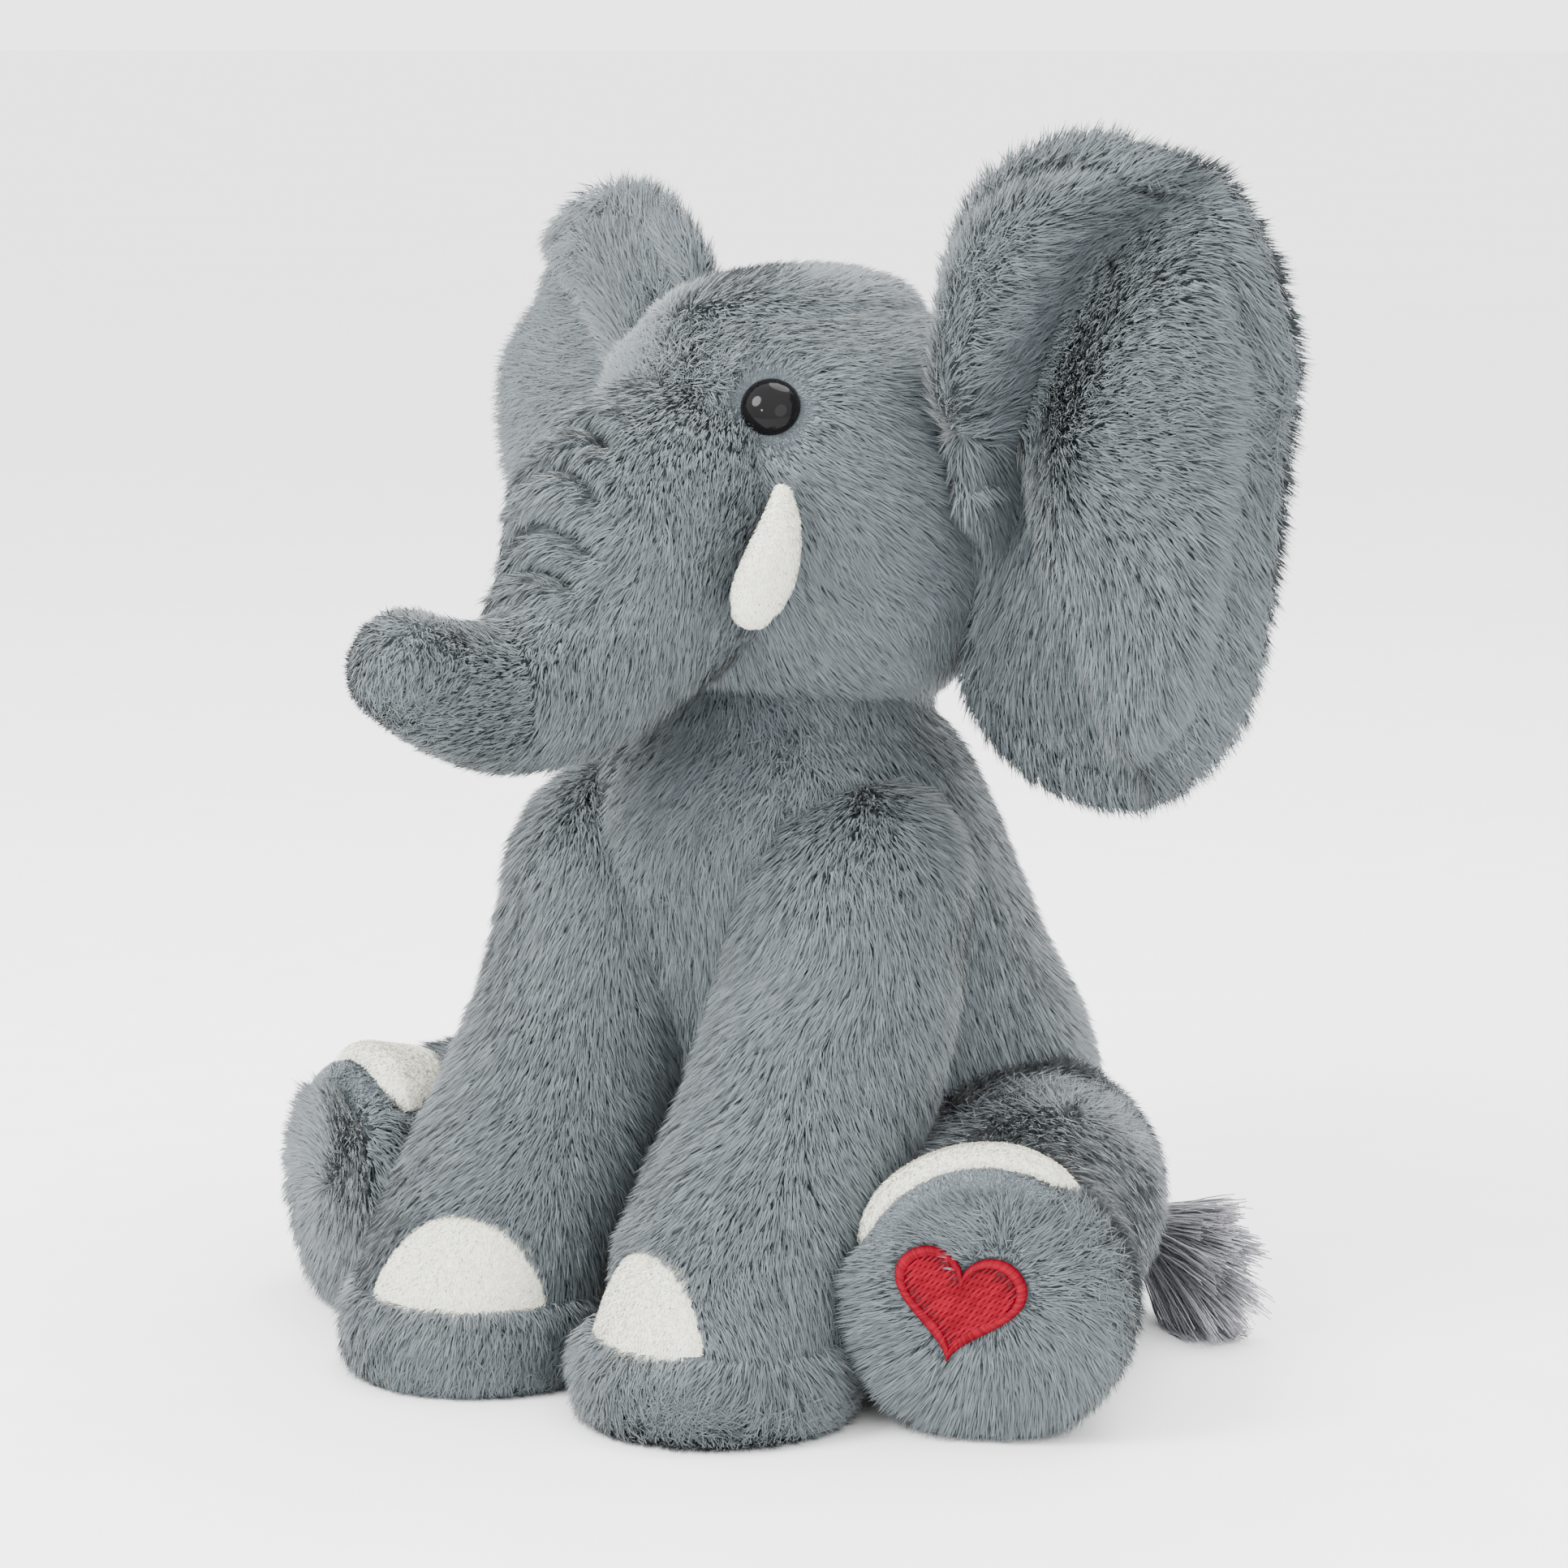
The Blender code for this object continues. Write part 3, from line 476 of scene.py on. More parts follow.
def grow(name, body, form, length, flow, keep=None, *, seed, density=5.2, width=0.00034, lift=(36, 66),
         clump=0.42, looks=FUR, slot="grey_plush", hidden_by=()):
    """Pile on a form: bent, pointed strands gathered in tufts, the undercoat darker as painted shade deep in
    the pile and the topcoat paler as painted light on the tips.

    flow gives where strands lean and keep the share of the length that each has, by points and
    normals. lift is how far a strand's two parts lean from the normal, in degrees.
    """
    rng = np.random.default_rng(seed)
    root, normal = scatter(form, density, rng)
    size = np.ones(len(root)) if keep is None else keep(root, normal)
    for block in hidden_by:
        alive = np.where(size > SHORTEST)[0]
        size[alive[inside(block, root[alive], HIDDEN_DEPTH)]] = 0
    alive = size > SHORTEST
    root, normal, size = root[alive], normal[alive], size[alive]
    count = len(root)
    comb = flow(root, normal) + SWAY_SHARE * sway(root, seed + 50) + rng.normal(0, 0.20, (count, 3))
    comb = unit(comb - normal * np.einsum("ij,ij->i", comb, normal)[:, None])
    topcoat = rng.random(count) < TOPCOAT_SHARE
    long = length * size * rng.uniform(0.76, 1.12, count) * np.where(topcoat, 1.0, UNDERCOAT_LENGTH)
    tilt = np.radians(np.array(lift)[None] + rng.normal(0, 6, (count, 2)))
    knee = root - normal * ROOT_DEPTH
    joints = [knee]
    for k, share in enumerate(BEND_SHARES):
        step = normal * np.cos(tilt[:, k, None]) + comb * np.sin(tilt[:, k, None])
        knee = knee + step * (long * share)[:, None]
        joints.append(knee)
    # gather the tips into tufts
    leaders = np.arange(0, count, TUFT)
    tree = kd_of(root[leaders])
    own = np.fromiter((tree.find(p)[1] for p in root), int, count)
    lead = leaders[own]
    pull = clump * rng.uniform(0.4, 1.0, count)[:, None]
    joints[2] = joints[2] + (joints[2][lead] - joints[2]) * pull
    joints[1] = joints[1] + (joints[1][lead] - joints[1]) * pull * KNEE_PULL
    run = unit(joints[2] - joints[0])
    side = unit(np.cross(run, normal) + rng.normal(0, 0.38, (count, 3)))
    side = unit(side - run * np.einsum("ij,ij->i", side, run)[:, None])
    half = (width / 2 * rng.uniform(0.75, 1.25, count))[:, None]
    # each kite folds across its own middle
    points = np.stack([joints[1] - side * half, joints[0], joints[1] + side * half, joints[2]], 1)
    points = points.reshape(-1, 3)
    points[:, 2] = np.maximum(points[:, 2], FLOOR_GAP)
    tones = len(looks) // 2
    tone = np.clip(rng.normal(0, 0.5, len(leaders))[own] + rng.normal(0, 0.45, count) + tones / 2, 0,
                   tones - 0.01).astype(int)
    # undercoat strands take the darker tones, painted shade, and topcoat strands the paler ones, painted
    # light
    strands = add_mesh(name, points, np.arange(count * 4).reshape(-1, 4), looks, tone + tones * topcoat)
    # a strand is lit mostly as the form under it is, and a little as it lies itself
    lit = unit(normal * LIT_BY_FORM + unit(np.cross(side, run)) * LIT_BY_STRAND + comb * LIT_BY_COMB)
    set_normals(strands.data, np.repeat(lit, 4, axis=0))
    return dress(strands, body)


# ==== forms
def flat_ring(z, y, half_x, half_y):
    return ring_row((0, y, z), X, Y, half_x, half_y)


HEAD_FRAME = Matrix.Translation(HEAD_CENTRE) @ HEAD_TURN
HEAD_BACK = HEAD_FRAME.inverted()


def limb_grid(stations):
    rings = [flat_ring(-along, -toe, side, depth) for along, toe, side, depth in stations]
    return loft(rings, start=stations[0][2] * 1.10, end=0.002, rows=50, around=64)


def sole_grid(centre_y, along, radius, thickness):
    """A round padded sole, a little domed on its outer face."""
    profile = [(0.0, 0.90), (0.25, 0.985), (0.5, 1.0), (0.75, 0.985), (1.0, 0.90)]
    rings = [flat_ring(-along - thickness * part, centre_y, radius * size, radius * size)
             for part, size in profile]
    return loft(rings, start=0.001, end=0.0012, rows=14, around=72)


def trunk_grid():
    rings = []
    for i, (y, z, half_x, half_up) in enumerate(TRUNK):
        before, after = TRUNK[max(i - 1, 0)], TRUNK[min(i + 1, len(TRUNK) - 1)]
        run = np.array((0, after[0] - before[0], after[1] - before[1]))
        run /= np.linalg.norm(run)
        rings.append(ring_row((0, y, z), X, np.cross(X, run), half_x, half_up))
    return loft(rings, start=0.004, end=0.0095, rows=90, around=80)


def polyline_side(points, line):
    """Distance to a line, positive on its left as it runs, for (outwards, up) points."""
    line = np.asarray(line)
    best = np.full(len(points), 1e9)
    signed = np.zeros(len(points))
    for a, b in zip(line, line[1:]):
        run = b - a
        t = np.clip(((points - a) @ run) / (run @ run), 0, 1)
        off = points - a - t[:, None] * run
        distance = np.linalg.norm(off, axis=1)
        side = np.sign(run[0] * (points[:, 1] - a[1]) - run[1] * (points[:, 0] - a[0]))
        closer = distance < best
        best[closer], signed[closer] = distance[closer], (distance * side)[closer]
    return signed


def ear_front(place, reach, angle, rise):
    """How far the front panel stands forwards, and its lip's and lobe's part of that."""
    turn = np.degrees(angle) % 360
    lip_span = ease(38, 75, turn) * (1 - ease(185, 215, turn))
    from_lip = polyline_side(place, LIP_EDGE)  # negative towards the upper inner rim
    from_fold = polyline_side(place, FOLD_EDGE)  # positive towards the outer panel
    lip = rise * ease(0.0015, -0.0050, from_lip) * lip_span
    panel = PANEL_RISE * ease(0.003, 0.030, from_lip) * ease(-0.001, 0.005, from_fold)
    lobe = LOBE_RISE * ease(0.002, -0.004, from_fold) * ease(0.022, 0.004, place[:, 1])
    edge = 1 - ease(0.80, 1.0, reach)
    return lip * (0.55 + 0.45 * edge) + panel * edge + lobe * (0.6 + 0.4 * edge), lip, lobe


def ear_form(sign):
    """Front and back of one ear as a closed form, in the ear's own frame."""
    spokes, rings = 144, 44
    lap = np.linspace(0, 1, spokes, endpoint=False)
    rim = closed_spline(EAR_OUTLINES[sign], lap)
    layers = []
    reach = np.sin(np.linspace(0, math.pi / 2, rings))[1:]
    for facing in (1, -1):
        rows = []
        for r in reach:
            place = EAR_MIDDLE + (rim - EAR_MIDDLE) * r
            angle = np.arctan2(place[:, 1] - EAR_MIDDLE[1], place[:, 0] - EAR_MIDDLE[0])
            height, lip, lobe = ear_front(place, r, angle, LIP_RISE[sign])
            plump = EAR_EDGE + EAR_PLUMP * math.sqrt(max(1 - r * r, 0))
            back = 0.75 * lip * ease(0.4, 0.95, r) + 0.8 * lobe - plump
            forward = height + plump if facing > 0 else back
            rows.append(np.stack([place[:, 0] * sign, -forward, place[:, 1]], -1))
        layers.append(np.array(rows))
    front, back = layers
    return np.concatenate([front, back[::-1]])


# ==== scene
def build_stage():
    """A pale floor, an even white surround and four soft lamps."""
    bpy.ops.mesh.primitive_plane_add(size=400, location=(0, 0, 0))
    floor = bpy.context.object
    floor.name = "studio_floor"
    floor.data.materials.append(woven("studio_paper", (0.86, 0.86, 0.86), (0.90, 0.90, 0.90), 0.9, 40, 0.02))
    world = bpy.data.worlds.new("studio")
    world.use_nodes = True
    surround = world.node_tree.nodes["Background"]
    surround.inputs["Color"].default_value = (1, 1, 1, 1)
    surround.inputs["Strength"].default_value = 3.3
    bpy.context.scene.world = world
    middle = Vector((0, 0, 0.14))
    for name, place, size, power in (
        ("key", (-0.45, -1.10, 1.15), 0.7, 40.0),
        ("fill", (1.25, -0.70, 0.60), 1.0, 8.0),
        ("top", (0.10, 0.35, 1.30), 0.9, 20.0),
        ("catchlight", (0.10, -1.20, 0.62), 0.11, 2.2),
    ):
        data = bpy.data.lights.new(name, "AREA")
        data.shape = "DISK"
        data.size, data.energy = size, power
        lamp = bpy.data.objects.new(name, data)
        lamp.location = place
        lamp.rotation_euler = (middle - Vector(place)).to_track_quat("-Z", "Y").to_euler()
        bpy.context.scene.collection.objects.link(lamp)


def build_camera():
    azimuth, elevation, distance = math.radians(36), math.radians(9), 1.15
    sensor, span = 36, 0.3864  # span is the width in view at the target
    target = Vector((-0.011, 0, 0.1305))
    away = Vector((math.sin(azimuth) * math.cos(elevation), -math.cos(azimuth) * math.cos(elevation),
                   math.sin(elevation)))
    data = bpy.data.cameras.new("photo_camera")
    data.sensor_width = sensor
    data.lens = sensor * distance / span
    data.clip_start = 0.05
    camera = bpy.data.objects.new("photo_camera", data)
    camera.location = target + away * distance
    camera.rotation_euler = (-away).to_track_quat("-Z", "Y").to_euler()
    bpy.context.scene.collection.objects.link(camera)
    bpy.context.scene.camera = camera


build_camera()
build_stage()

# ---- every stuffed form, in world coordinates ----
torso = grid_form(loft([flat_ring(*row) for row in TORSO], start=0.0, end=0.004, rows=80, around=96))
torso[0][:, 2] = np.maximum(torso[0][:, 2], FLOOR_GAP)


def arm_frame(sign):
    return Matrix.Translation(mirrored(ARM_ROOT, sign))


def leg_frame(sign):
    return (Matrix.Translation(mirrored(LEG_ROOT, sign)) @ Matrix.Rotation(LEG_SPLAY * sign, 4, "Z")
            @ Matrix.Rotation(math.radians(-90), 4, "X"))


def ear_frame(sign):
    return (HEAD_FRAME @ Matrix.Translation(mirrored(EAR_ROOT, sign))
            @ Matrix.Rotation(EAR_SWEEP * sign, 4, "Z"))


head_local = grid_form(loft([flat_ring(*row) for row in HEAD], start=0.008, end=0.0105, rows=110, around=144))


def eye_place(tree, sign):
    """Where an eye sits on the head's skin, and which way it looks."""
    towards = mirrored(EYE_TOWARDS, sign).normalized()
    return tree.ray_cast(towards * CAST_FROM, -towards)[0], towards


def sink_sockets(form):
    """The skin draws in round each eye, under a brow."""
    points, tris = form
    tree = tree_of(form)
    normals = vertex_normals(points, tris)
    for sign in (1, -1):
        off = points - np.array(eye_place(tree, sign)[0])
        brow = (off - BROW_ABOVE) * BROW_SHAPE
        points = points + normals * (
            BROW_RISE * np.exp(-(np.linalg.norm(brow, axis=1) / SOCKET_SPREAD) ** 2)
            - SOCKET_DEPTH * np.exp(-(np.linalg.norm(off, axis=1) / SOCKET_SPREAD) ** 2))[:, None]
    return points, tris


head_local = sink_sockets(head_local)
trunk_local = grid_form(trunk_grid())


def tuck_lines():
    """Each tuck of the trunk as points on its bridge, in the head's frame."""
    tree = tree_of(trunk_local)
    lines = []
    for y, z, tilt, half_angle in WRINKLES:
        line = []
        for step in range(TUCK_STEPS + 1):
            share = step / TUCK_STEPS * 2 - 1
            angle = math.radians(share * half_angle * 1.15)
            lean = math.radians(tilt - 8 * share * share)
            towards = Vector((math.sin(angle), -math.cos(angle) * math.cos(lean),
                              math.cos(angle) * math.sin(lean)))
            line.append(tree.ray_cast(Vector((0, y, z)) + towards * 0.08, -towards)[0])
        lines.append(np.array(line))
    return lines


TUCKS = tuck_lines()
TUCK_POINTS = np.concatenate([spline(line, 60) for line in TUCKS])


def sink_tucks(form):
    """The skin draws in along each tuck, and stands up beside it."""
    points, tris = form
    normals = vertex_normals(points, tris)
    distance = near(points, TUCK_POINTS)
    depth = (TUCK_DEPTH * np.exp(-(distance / TUCK_SPREAD) ** 2)
             - CUSHION_RISE * np.exp(-((distance - CUSHION_OFF) / CUSHION_SPREAD) ** 2))
    return points - normals * depth[:, None], tris


trunk_local = sink_tucks(trunk_local)
head = (moved(head_local[0], HEAD_FRAME), head_local[1])
trunk = (moved(trunk_local[0], HEAD_FRAME), trunk_local[1])

LIMBS = {}
for side, sign in SIDES:
    LIMBS[f"{side}_arm"] = (arm_frame(sign), ARM, ARM_SOLE)
    LIMBS[f"{side}_leg"] = (leg_frame(sign), LEG, LEG_SOLE)

limb_forms, sole_forms, ear_forms = {}, {}, {}
SOLE_RISE = {"arm": 0.0060, "leg": 0.0}  # how far a sole climbs round the limb's end
SOLE_OFF = 0.0004
for limb, (place, stations, (sole_radius, sole_thick)) in LIMBS.items():
    along, toe = stations[-1][:2]
    limb_forms[limb] = grid_form(moved(limb_grid(stations), place))
    rise = SOLE_RISE[limb[-3:]]
    sole = sole_grid(-toe, along + SOLE_OFF - rise, sole_radius, sole_thick + rise)
    sole_forms[limb] = grid_form(moved(sole, place))
for side, sign in SIDES:
    ear_forms[side] = grid_form(moved(ear_form(sign), ear_frame(sign)))

head_tree = tree_of(head_local)
EYES = {side: eye_place(head_tree, sign) for side, sign in SIDES}


def down_and_out(points, centre, out):
    """Pile that hangs, and spreads a little from an upright line."""
    away = points - np.array((*centre, 0))
    away[:, 2] = 0
    return unit(away) * out - Z


def straight_down(points, _normal):
    return np.tile(-Z, (len(points), 1))


# ---- torso ----
dress(add_mesh("torso_plush", *torso, BACKING), "torso",
      ("torso_skin", "torso_stuffing", "seat_panel", "pellet_pouch"))
head_block, trunk_block, torso_block = obstacle(head), obstacle(trunk), obstacle(torso)
limb_blocks = {name: obstacle(form) for name, form in limb_forms.items()}


def torso_keep(points, normal):
    size = np.where(normal[:, 2] < -0.9, 0.0, 1.0)  # none under the seat
    # the front side seams that run from the neck to the arms
    for sign in (1, -1):
        seam = spline([(sign * 0.0185, -0.040, 0.152), (sign * 0.0235, -0.046, 0.138),
                       (sign * 0.027, -0.052, 0.124), (sign * 0.030, -0.056, 0.110)], 40)
        size *= 1 - 0.80 * np.exp(-(near(points, seam) / 0.0019) ** 2)
    return size


grow("torso_pile", "torso", torso, 0.0088,
     lambda points, _normal: down_and_out(points, (0, 0), 0.25), torso_keep,
     hidden_by=(head_block, *limb_blocks.values()), seed=11)


# ---- head and trunk ----
def head_flow(points, _normal):
    """Back from the face, down, and away from the eyes."""
    local = moved(points, HEAD_BACK)
    from_face = local - np.array((0, -0.050, 0.006))
    field = unit(from_face) * 0.65 + np.array((0, 0.15, -0.75))
    for spot, _ in EYES.values():
        off = local - np.array(spot)
        field += unit(off) * (1.6 * np.exp(-(np.linalg.norm(off, axis=1) / 0.011) ** 2))[:, None]
    return turned(field, HEAD_FRAME)


def head_keep(points, _normal):
    """Short round the eyes, none under them, and short at the tusks."""
    local = moved(points, HEAD_BACK)
    size = np.full(len(points), 0.92)
    for side, sign in SIDES:
        spot = np.array(EYES[side][0])
        distance = np.linalg.norm(local - spot, axis=1)
        size *= 0.18 + 0.82 * ease(0.0072, 0.0150, distance)
        size *= distance > 0.0066
        tusk_root = np.array((0.0385 * sign, -0.0395, -0.002))
        size *= 0.4 + 0.6 * ease(0.003, 0.010, np.linalg.norm(local - tusk_root, axis=1))
    return size


grow("head_pile", "head", head, 0.0080, head_flow, head_keep, hidden_by=(trunk_block, torso_block), seed=12)
dress(add_mesh("head_plush", *head, BACKING), "head", ("head_skin", "head_stuffing"))


def trunk_flow(points, _normal):
    local = moved(points, HEAD_BACK)
    along = np.stack([np.zeros(len(local)), np.full(len(local), -0.75),
                      np.where(local[:, 1] < -0.095, 0.25, -0.55)], -1)
    return turned(along, HEAD_FRAME) - Z * 0.35


def trunk_keep(points, _normal):
    """Short in the tucks and towards the tip."""
    local = moved(points, HEAD_BACK)
    size = np.full(len(points), 0.88)
    size *= 0.10 + 0.90 * ease(0.0006, 0.0042, near(local, TUCK_POINTS))
    return size * (1 - 0.25 * ease(-0.095, -0.115, local[:, 1]))


grow("trunk_pile", "head", trunk, 0.0082, trunk_flow, trunk_keep, hidden_by=(head_block,), seed=13)
dress(add_mesh("trunk_plush", *trunk, BACKING), "head", ("trunk_skin", "trunk_stuffing"))


# ---- ears ----
def ear_flow(sign, place):
    back = place.inverted()

    def flow(points, _normal):
        out = moved(points, back) * np.array((1, 0, 1)) - np.array((0.012 * sign, 0, 0.010))
        return turned(unit(out) * 0.8 + np.array((0.15 * sign, 0, -0.55)), place)
    return flow


def ear_keep(sign, place):
    """Shorter along the seam inside the front's rim."""
    back = place.inverted()

    def keep(points, normal):
        local = moved(points, back)
        flat = np.stack([local[:, 0] * sign, local[:, 2], np.zeros(len(local))], -1)
        rim = closed_spline(EAR_OUTLINES[sign], np.linspace(0, 1, 400, endpoint=False))
        seam = EAR_MIDDLE + (rim - EAR_MIDDLE) * EAR_SEAM
        gap = near(flat, np.column_stack([seam, np.zeros(len(seam))]))
        front = (normal @ np.array(place)[:3, :3])[:, 1] < 0
        return 1.0 - 0.45 * front * np.exp(-(gap / 0.0016) ** 2)
    return keep


for side, sign in SIDES:
    place, form = ear_frame(sign), ear_forms[side]
    dress(add_mesh(f"{side}_ear_plush", *form, BACKING), f"{side}_ear",
          (f"{side}_ear_front", f"{side}_ear_back", f"{side}_ear_wadding"))
    grow(f"{side}_ear_pile", f"{side}_ear", form, 0.0092, ear_flow(sign, place), ear_keep(sign, place),
         hidden_by=(head_block,), density=4.8, seed=20 + sign)

# ---- limbs ----
PATCHES = {  # toe patch: turn about the limb, middle along, half sizes across, deep and along
    "left_arm": (-24, 0.097, 0.0235, 0.0200, 0.0285), "right_arm": (22, 0.096, 0.0240, 0.0200, 0.0280),
    "left_leg": (-16, 0.0735, 0.0300, 0.0170, 0.0100), "right_leg": (-10, 0.073, 0.0290, 0.0160, 0.0150),
}
PATCH_SWELL = {"arm": 0.0022, "leg": 0.0042}
PATCH_EDGE = 1.12  # the patch_share at its mesh's edge
MINKY_PILE = {"density": 9.0, "lift": (30, 60), "clump": 0.2, "looks": MINKY, "slot": "white_minky"}


def patch_share(limb, local):
    """Under 1 within the white toe patch, for points in the limb's own frame."""
    turn, along, across, deep, tall = PATCHES[limb]
    stations = LIMBS[limb][1]
    spin = math.radians(turn)
    toe, depth = stations[-1][1], stations[-1][3]
    heading = np.array((math.sin(spin), -math.cos(spin), 0))
    sideways = np.array((math.cos(spin), math.sin(spin), 0))
    off = local - (np.array((0, -toe, -along)) + heading * depth * 0.93)
    return np.sqrt((off @ sideways / across) ** 2 + (off @ heading / deep) ** 2 + (off[:, 2] / tall) ** 2)


def heart_curve(count):
    """Points of the heart's outline, (across, up) from its middle."""
    t = np.linspace(0, 2 * math.pi, count, endpoint=False)
    across = 16 * np.sin(t) ** 3
    up = 13 * np.cos(t) - 5 * np.cos(2 * t) - 2 * np.cos(3 * t) - np.cos(4 * t) + 2.5
    return np.stack([across * 0.95, up * 0.89], -1) * HEART_WIDTH / 32  # across runs from -16 to 16


def heart_share(flat):
    """Under 1 inside the heart, for (across, up) points of its own plane."""
    edge = heart_curve(720)
    angle = np.arctan2(edge[:, 1], edge[:, 0])
    order = np.argsort(angle)
    reach = np.interp(np.arctan2(flat[:, 1], flat[:, 0]), angle[order],
                      np.linalg.norm(edge, axis=1)[order], period=2 * math.pi)
    return np.linalg.norm(flat, axis=1) / reach


def on_heart(local):
    """Points of the left leg's frame in the heart's plane."""
    u, v = local[:, 0] + HEART_OFFSET, -(local[:, 1] + LEG[-1][1])
    c, s = math.cos(HEART_TILT), math.sin(HEART_TILT)
    return np.stack([u * c + v * s, v * c - u * s], -1)


def off_heart(flat, height):
    """Back from the heart's plane to the left leg's frame; height is outwards from the sole."""
    c, s = math.cos(HEART_TILT), math.sin(HEART_TILT)
    x, y = flat[:, 0], flat[:, 1]
    face = LEG[-1][0] + SOLE_OFF + LEG_SOLE[1]
    return np.stack([x * c - y * s - HEART_OFFSET, -(x * s + y * c) - LEG[-1][1],
                     np.broadcast_to(-face - height, x.shape)], -1)


def limb_fields(limb):
    """How the pile of one limb lies and where it is short: for its skin and for its sole."""
    place, stations, _ = LIMBS[limb]
    back, turn = place.inverted(), np.array(place)[:3, :3]
    along_end, toe_end = stations[-1][:2]

    def skin_keep(points, _normal):
        local = moved(points, back)
        share = patch_share(limb, local)
        size = ease(0.97, 1.10, share) * (0.55 + 0.45 * ease(1.0, 1.5, share))
        return size * (local[:, 2] > -along_end + 0.0002)

    def skin_flow(points, normal):
        if limb.endswith("arm"):
            return down_and_out(points, tuple(place.translation[:2]), 0.3)
        return np.array((0, 0, -0.55)) @ turn.T - Z * 0.8 * (1 - 0.5 * np.abs(normal[:, 2:3]))

    def sole_keep(points, normal):
        local = moved(points, back)
        inner = (normal @ turn)[:, 2] > 0.7
        size = np.where(inner, 0.0, 0.95)
        if limb.endswith("leg"):
            # the rim is trimmed short in front of the toe patch
            turn_up = np.arctan2(-(local[:, 1] + toe_end), local[:, 0])
            size *= 1 - 0.80 * ease(0.75, 1.10, turn_up) * ease(2.95, 2.60, turn_up) * (
                np.hypot(local[:, 0], local[:, 1] + toe_end) > 0.024)
        if limb == "left_leg":
            outer = local[:, 2] < -along_end - 0.004
            share = heart_share(on_heart(local))
            size *= np.where(outer, ease(0.93, 1.0, share) * (0.45 + 0.55 * ease(1.0, 1.35, share)), 1.0)
        return size

    def sole_flow(points, _normal):
        local = moved(points, back) - np.array((0, -toe_end, 0))
        local[:, 2] = 0
        return unit(local) @ turn.T - Z * 0.45

    return skin_keep, skin_flow, sole_keep, sole_flow


def patch_form(limb):
    """The white toe patch: the limb's own surface inside the patch, a little proud of it."""
    points, tris = limb_forms[limb]
    share = patch_share(limb, moved(points, LIMBS[limb][0].inverted()))
    normals = vertex_normals(points, tris)
    inside_patch = (share[tris] < PATCH_EDGE).all(1)
    used = np.unique(tris[inside_patch])
    index = np.full(len(points), -1)
    index[used] = np.arange(len(used))
    swell = PATCH_SWELL[limb[-3:]] * np.sqrt(np.clip(1.25 - share[used] ** 2, 0, 1)) - 0.0002
    return points[used] + normals[used] * swell[:, None], index[tris[inside_patch]]


for number, limb in enumerate(LIMBS):
    skin_keep, skin_flow, sole_keep, sole_flow = limb_fields(limb)
    others = [block for name, block in limb_blocks.items() if name != limb] + [torso_block]
    dress(add_mesh(f"{limb}_plush", *limb_forms[limb], BACKING), limb,
          (f"{limb}_skin", f"{limb}_stuffing"))
    grow(f"{limb}_pile", limb, limb_forms[limb], 0.0088, skin_flow, skin_keep, hidden_by=others,
         seed=31 + number)
    dress(add_mesh(f"{limb}_sole_pad", *sole_forms[limb], BACKING), limb,
          (f"{limb}_sole",))
    grow(f"{limb}_sole_pile", limb, sole_forms[limb], 0.0086, sole_flow, sole_keep, seed=41 + number)
    patch = patch_form(limb)
    dress(add_mesh(f"{limb}_patch", *patch, WHITE_BACKING), limb, (f"{limb}_toe_patch",))
    grow(f"{limb}_patch_pile", limb, patch, 0.0014, skin_flow, width=0.00030, seed=51 + number, **MINKY_PILE)

# ---- eyes ----
profile = [(EYE_RADIUS * math.sin(a), EYE_RIM + EYE_DOME * math.cos(a))
           for a in np.linspace(0, math.pi / 2, 24)[1:]]
profile += [(EYE_RADIUS * 0.985, 0.0004), (EYE_RADIUS * 0.94, -0.0010)]
angle = np.linspace(0, 2 * math.pi, 64, endpoint=False)
dome = np.array([np.stack([r * np.cos(angle), r * np.sin(angle), np.full(64, h)], -1) for r, h in profile])
for side, (spot, towards) in EYES.items():
    seat = HEAD_FRAME @ Matrix.Translation(spot) @ face_along(towards)
    dress(add_mesh(f"{side}_eye_dome", *grid_form(moved(dome, seat)), EYE), "head",
          (f"{side}_eye", f"{side}_eye_washer"))

# ---- tusks ----
for side, sign in SIDES:
    centres = [np.array((x * sign, y, z)) for x, y, z, _ in TUSK]
    rings = []
    for i, (centre, (*_, radius)) in enumerate(zip(centres, TUSK)):
        run = centres[min(i + 1, len(centres) - 1)] - centres[max(i - 1, 0)]
        run /= np.linalg.norm(run)
        up = np.cross(run, X)
        rings.append(ring_row(centre, X, up / np.linalg.norm(up), radius * TUSK_FLATTENED, radius))
    tusk = grid_form(moved(loft(rings, start=0.002, end=0.0030, rows=50, around=48), HEAD_FRAME))
    dress(add_mesh(f"{side}_tusk_plush", *tusk, WHITE_BACKING), "head",
          (f"{side}_tusk_skin", f"{side}_tusk_stuffing"))
    grow(f"{side}_tusk_pile", "head", tusk, 0.0013, straight_down, width=0.00028, seed=61 + sign,
         **MINKY_PILE)


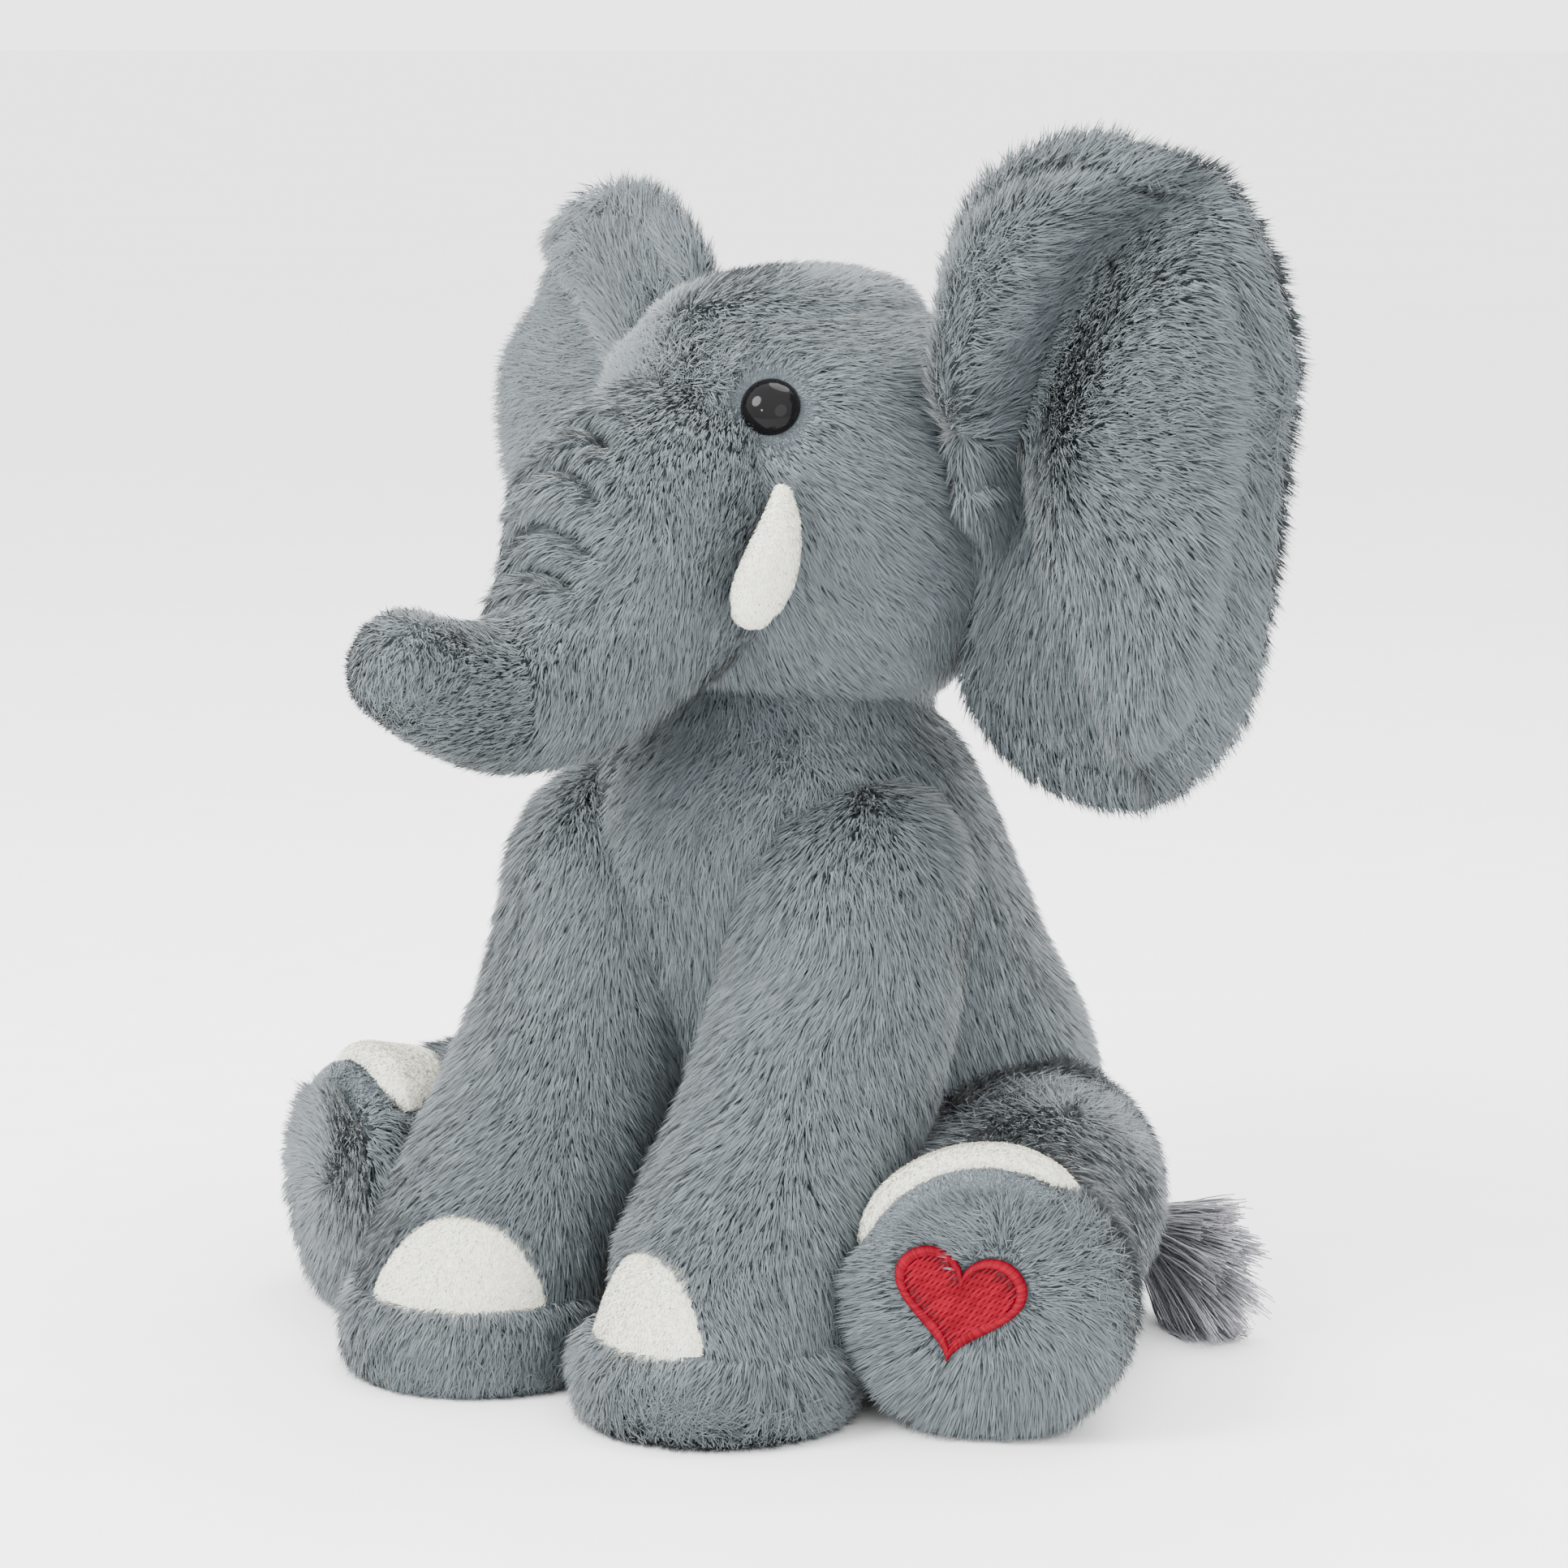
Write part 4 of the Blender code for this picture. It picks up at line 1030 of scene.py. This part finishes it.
# ---- threads: tucks, heart, tail ----
def tubes(name, paths, radius, looks, sides, taper=0.0, look_of=None):
    """Round threads as one mesh that faces inwards, along paths that have as many points each."""
    paths = np.asarray(paths, float)
    count, steps = paths.shape[:2]
    run = np.gradient(paths, axis=1)
    run /= np.maximum(np.linalg.norm(run, axis=2, keepdims=True), 1e-12)
    side = np.cross(run, Z)
    weak = np.linalg.norm(side, axis=2) < 0.15
    side[weak] = np.cross(run[weak], X)
    side /= np.linalg.norm(side, axis=2, keepdims=True)
    up = np.cross(side, run)
    angle = np.linspace(0, 2 * math.pi, sides, endpoint=False)
    share = np.linspace(0, 1, steps)
    size = np.asarray(radius).reshape(-1, 1) * (1 - taper * share)[None] * np.ones((count, 1))
    cos, sin = (wave(angle)[None, None, :, None] * size[:, :, None, None] for wave in (np.cos, np.sin))
    points = paths[:, :, None] + side[:, :, None] * cos + up[:, :, None] * sin
    n, i, j = np.meshgrid(np.arange(count), np.arange(steps - 1), np.arange(sides), indexing="ij")
    base = (n * steps + i) * sides
    here, there = base + j, base + (j + 1) % sides
    quads = np.stack([here, there, there + sides, here + sides], -1).reshape(-1, 4)
    ends = (np.arange(count) * steps * sides)[:, None]
    lids = [ends + np.arange(sides)[::-1], ends + (steps - 1) * sides + np.arange(sides)]
    faces = [quads, np.concatenate(lids)]
    which = np.zeros(count, int) if look_of is None else look_of
    index = np.concatenate([np.repeat(which, (steps - 1) * sides), which, which])
    return add_mesh(name, points.reshape(-1, 3), faces, looks, index)


for number, line in enumerate(TUCKS, 1):
    path = moved(spline(line, 40), HEAD_FRAME)
    sunk = path - unit(path - np.array(HEAD_FRAME @ TRUNK_CORE)) * TUCK_THREAD_SUNK
    thread = tubes(f"tuck_stitch_{number}", sunk[None], TUCK_THREAD_RADIUS, SHADED_TUCK_THREAD, 8)
    dress(thread, "head", (f"trunk_wrinkle_thread_{number}",))


def build_heart():
    """A padded satin border and slanting rows of fill stitches."""
    place = LIMBS["left_leg"][0]
    outline = heart_curve(200)
    # the ground under the stitches
    rows = [off_heart(outline * size, height) for size, height in (
        (1.0, -0.001), (1.0, HEART_RISE - 0.0006), (0.97, HEART_RISE), (0.7, HEART_RISE + 0.0003),
        (0.35, HEART_RISE + 0.0004))]
    ground = grid_form(moved(np.array(rows), place))
    dress(add_mesh("heart_ground", *ground, HEART_BASE), "left_leg", ("heart_embroidery",))
    rng = np.random.default_rng(71)
    # fill stitches: slanting rows, each broken into staggered stitches
    run = np.array((math.cos(FILL_SLANT), math.sin(FILL_SLANT)))
    across = np.array((-math.sin(FILL_SLANT), math.cos(FILL_SLANT)))
    t = np.linspace(0, 1, 6)
    height = HEART_RISE + 0.0004 + 0.00028 * np.sin(t * math.pi) ** 0.6
    stitches = []
    for row in range(-45, 46):
        stagger = (row * 0.41 % 1.0) * FILL_STITCH
        for k in range(-6, 7):
            start = across * row * FILL_PITCH + run * (k * FILL_STITCH + stagger)
            flat = start + run * (t * FILL_STITCH)[:, None]
            if (heart_share(flat) < FILL_REACH).all():
                stitches.append(off_heart(flat, height))
    fill = tubes("heart_fill", moved(np.array(stitches), place), FILL_RADIUS, HEART_THREAD, 5,
                 look_of=rng.integers(0, 3, len(stitches)))
    # satin border: short stitches from the edge towards the middle
    edge = closed_spline(heart_curve(120), np.arange(BORDER_STITCHES) / BORDER_STITCHES)
    inward = -unit(edge)
    t = np.linspace(0, 1, 8)
    height = HEART_RISE - 0.0004 + 0.0014 * np.sin(t * math.pi) ** 0.7
    paths = [off_heart(spot - into * 0.0002 + into * (t * BORDER_WIDTH)[:, None], height)
             for spot, into in zip(edge, inward)]
    border = tubes("heart_border", moved(np.array(paths), place), BORDER_RADIUS, HEART_THREAD, 5,
                   look_of=rng.integers(0, 3, BORDER_STITCHES))
    for piece in (fill, border):
        dress(piece, "left_leg")


def build_tail():
    """A sewn cord, and a tassel of loose yarn bound at its neck. The cord's pile lies inside it."""
    cord = tubes("tail_cord_plush", spline(TAIL_ROUTE, 60)[None], CORD_RADIUS, BACKING, 14)
    dress(cord, "tail", ("tail_cord",))
    grow("tail_pile", "tail", mesh_form(cord), 0.0045, straight_down, hidden_by=(torso_block,), seed=81)
    run = np.array((TASSEL_END - TASSEL_ROOT).normalized())
    side = np.cross(run, Z)
    side /= np.linalg.norm(side)
    up = np.cross(side, run)
    root = np.array(TASSEL_ROOT)
    # a turned binding of yarn round the tassel's neck
    lap = np.linspace(0, 2 * math.pi, 40)
    wind = (side * np.cos(lap)[:, None] + up * np.sin(lap)[:, None]) * WIND_REACH
    winds = [root + run * (WIND_START + WIND_PITCH * k) + wind for k in range(WINDS)]
    binding = tubes("tassel_winding", np.array(winds), WIND_RADIUS, YARN[:2], 6)
    dress(binding, "tail", ("tail_binding",))
    # loose yarn: bundles fan out from the neck, and each yarn strays a little in its bundle
    rng = np.random.default_rng(83)
    t = np.linspace(0, 1, 10)
    bundle = rng.integers(0, YARN_BUNDLES, YARN_COUNT)
    spread = rng.uniform(-1, 1, (YARN_BUNDLES, 2))
    fan = spread[bundle] * (1.0, 0.55) + rng.normal(0, 0.05, (YARN_COUNT, 2))
    start = rng.normal(0, 0.0016, (YARN_COUNT, 2))
    start *= np.minimum(1, 0.0040 / np.maximum(np.linalg.norm(start, axis=1), 1e-9))[:, None]
    long = rng.uniform(0.038, 0.046, YARN_BUNDLES)[bundle] * rng.uniform(0.94, 1.04, YARN_COUNT)
    angle = fan * (0.78, 0.42)
    aim = unit(run[None] * np.cos(angle[:, :1]) + up[None] * np.sin(angle[:, :1])
               + side[None] * np.sin(angle[:, 1:]))
    paths = (root + side * start[:, :1] + up * start[:, 1:])[:, None] + (
        (run * 0.75 + aim * 0.25)[:, None] * (t * long[:, None])[:, :, None] * 0.35
        + aim[:, None] * ((t ** 1.35) * long[:, None])[:, :, None] * 0.68)
    paths[:, :, 2] -= (t ** 2)[None] * 0.004
    paths += rng.normal(0, 0.00022, paths.shape) * t[None, :, None]
    paths[:, :, 2] = np.maximum(paths[:, :, 2], 0.0006)
    radius = rng.uniform(0.00022, 0.00034, YARN_COUNT)
    tone = rng.normal(1, 0.7, YARN_BUNDLES)[bundle] + rng.normal(0, 0.4, YARN_COUNT)
    tassel = tubes("tassel_yarn", paths, radius, YARN, 4, taper=0.55,
                   look_of=np.clip(tone, 0, 2.99).astype(int))
    dress(tassel, "tail", ("tail_tassel",))


build_heart()
build_tail()
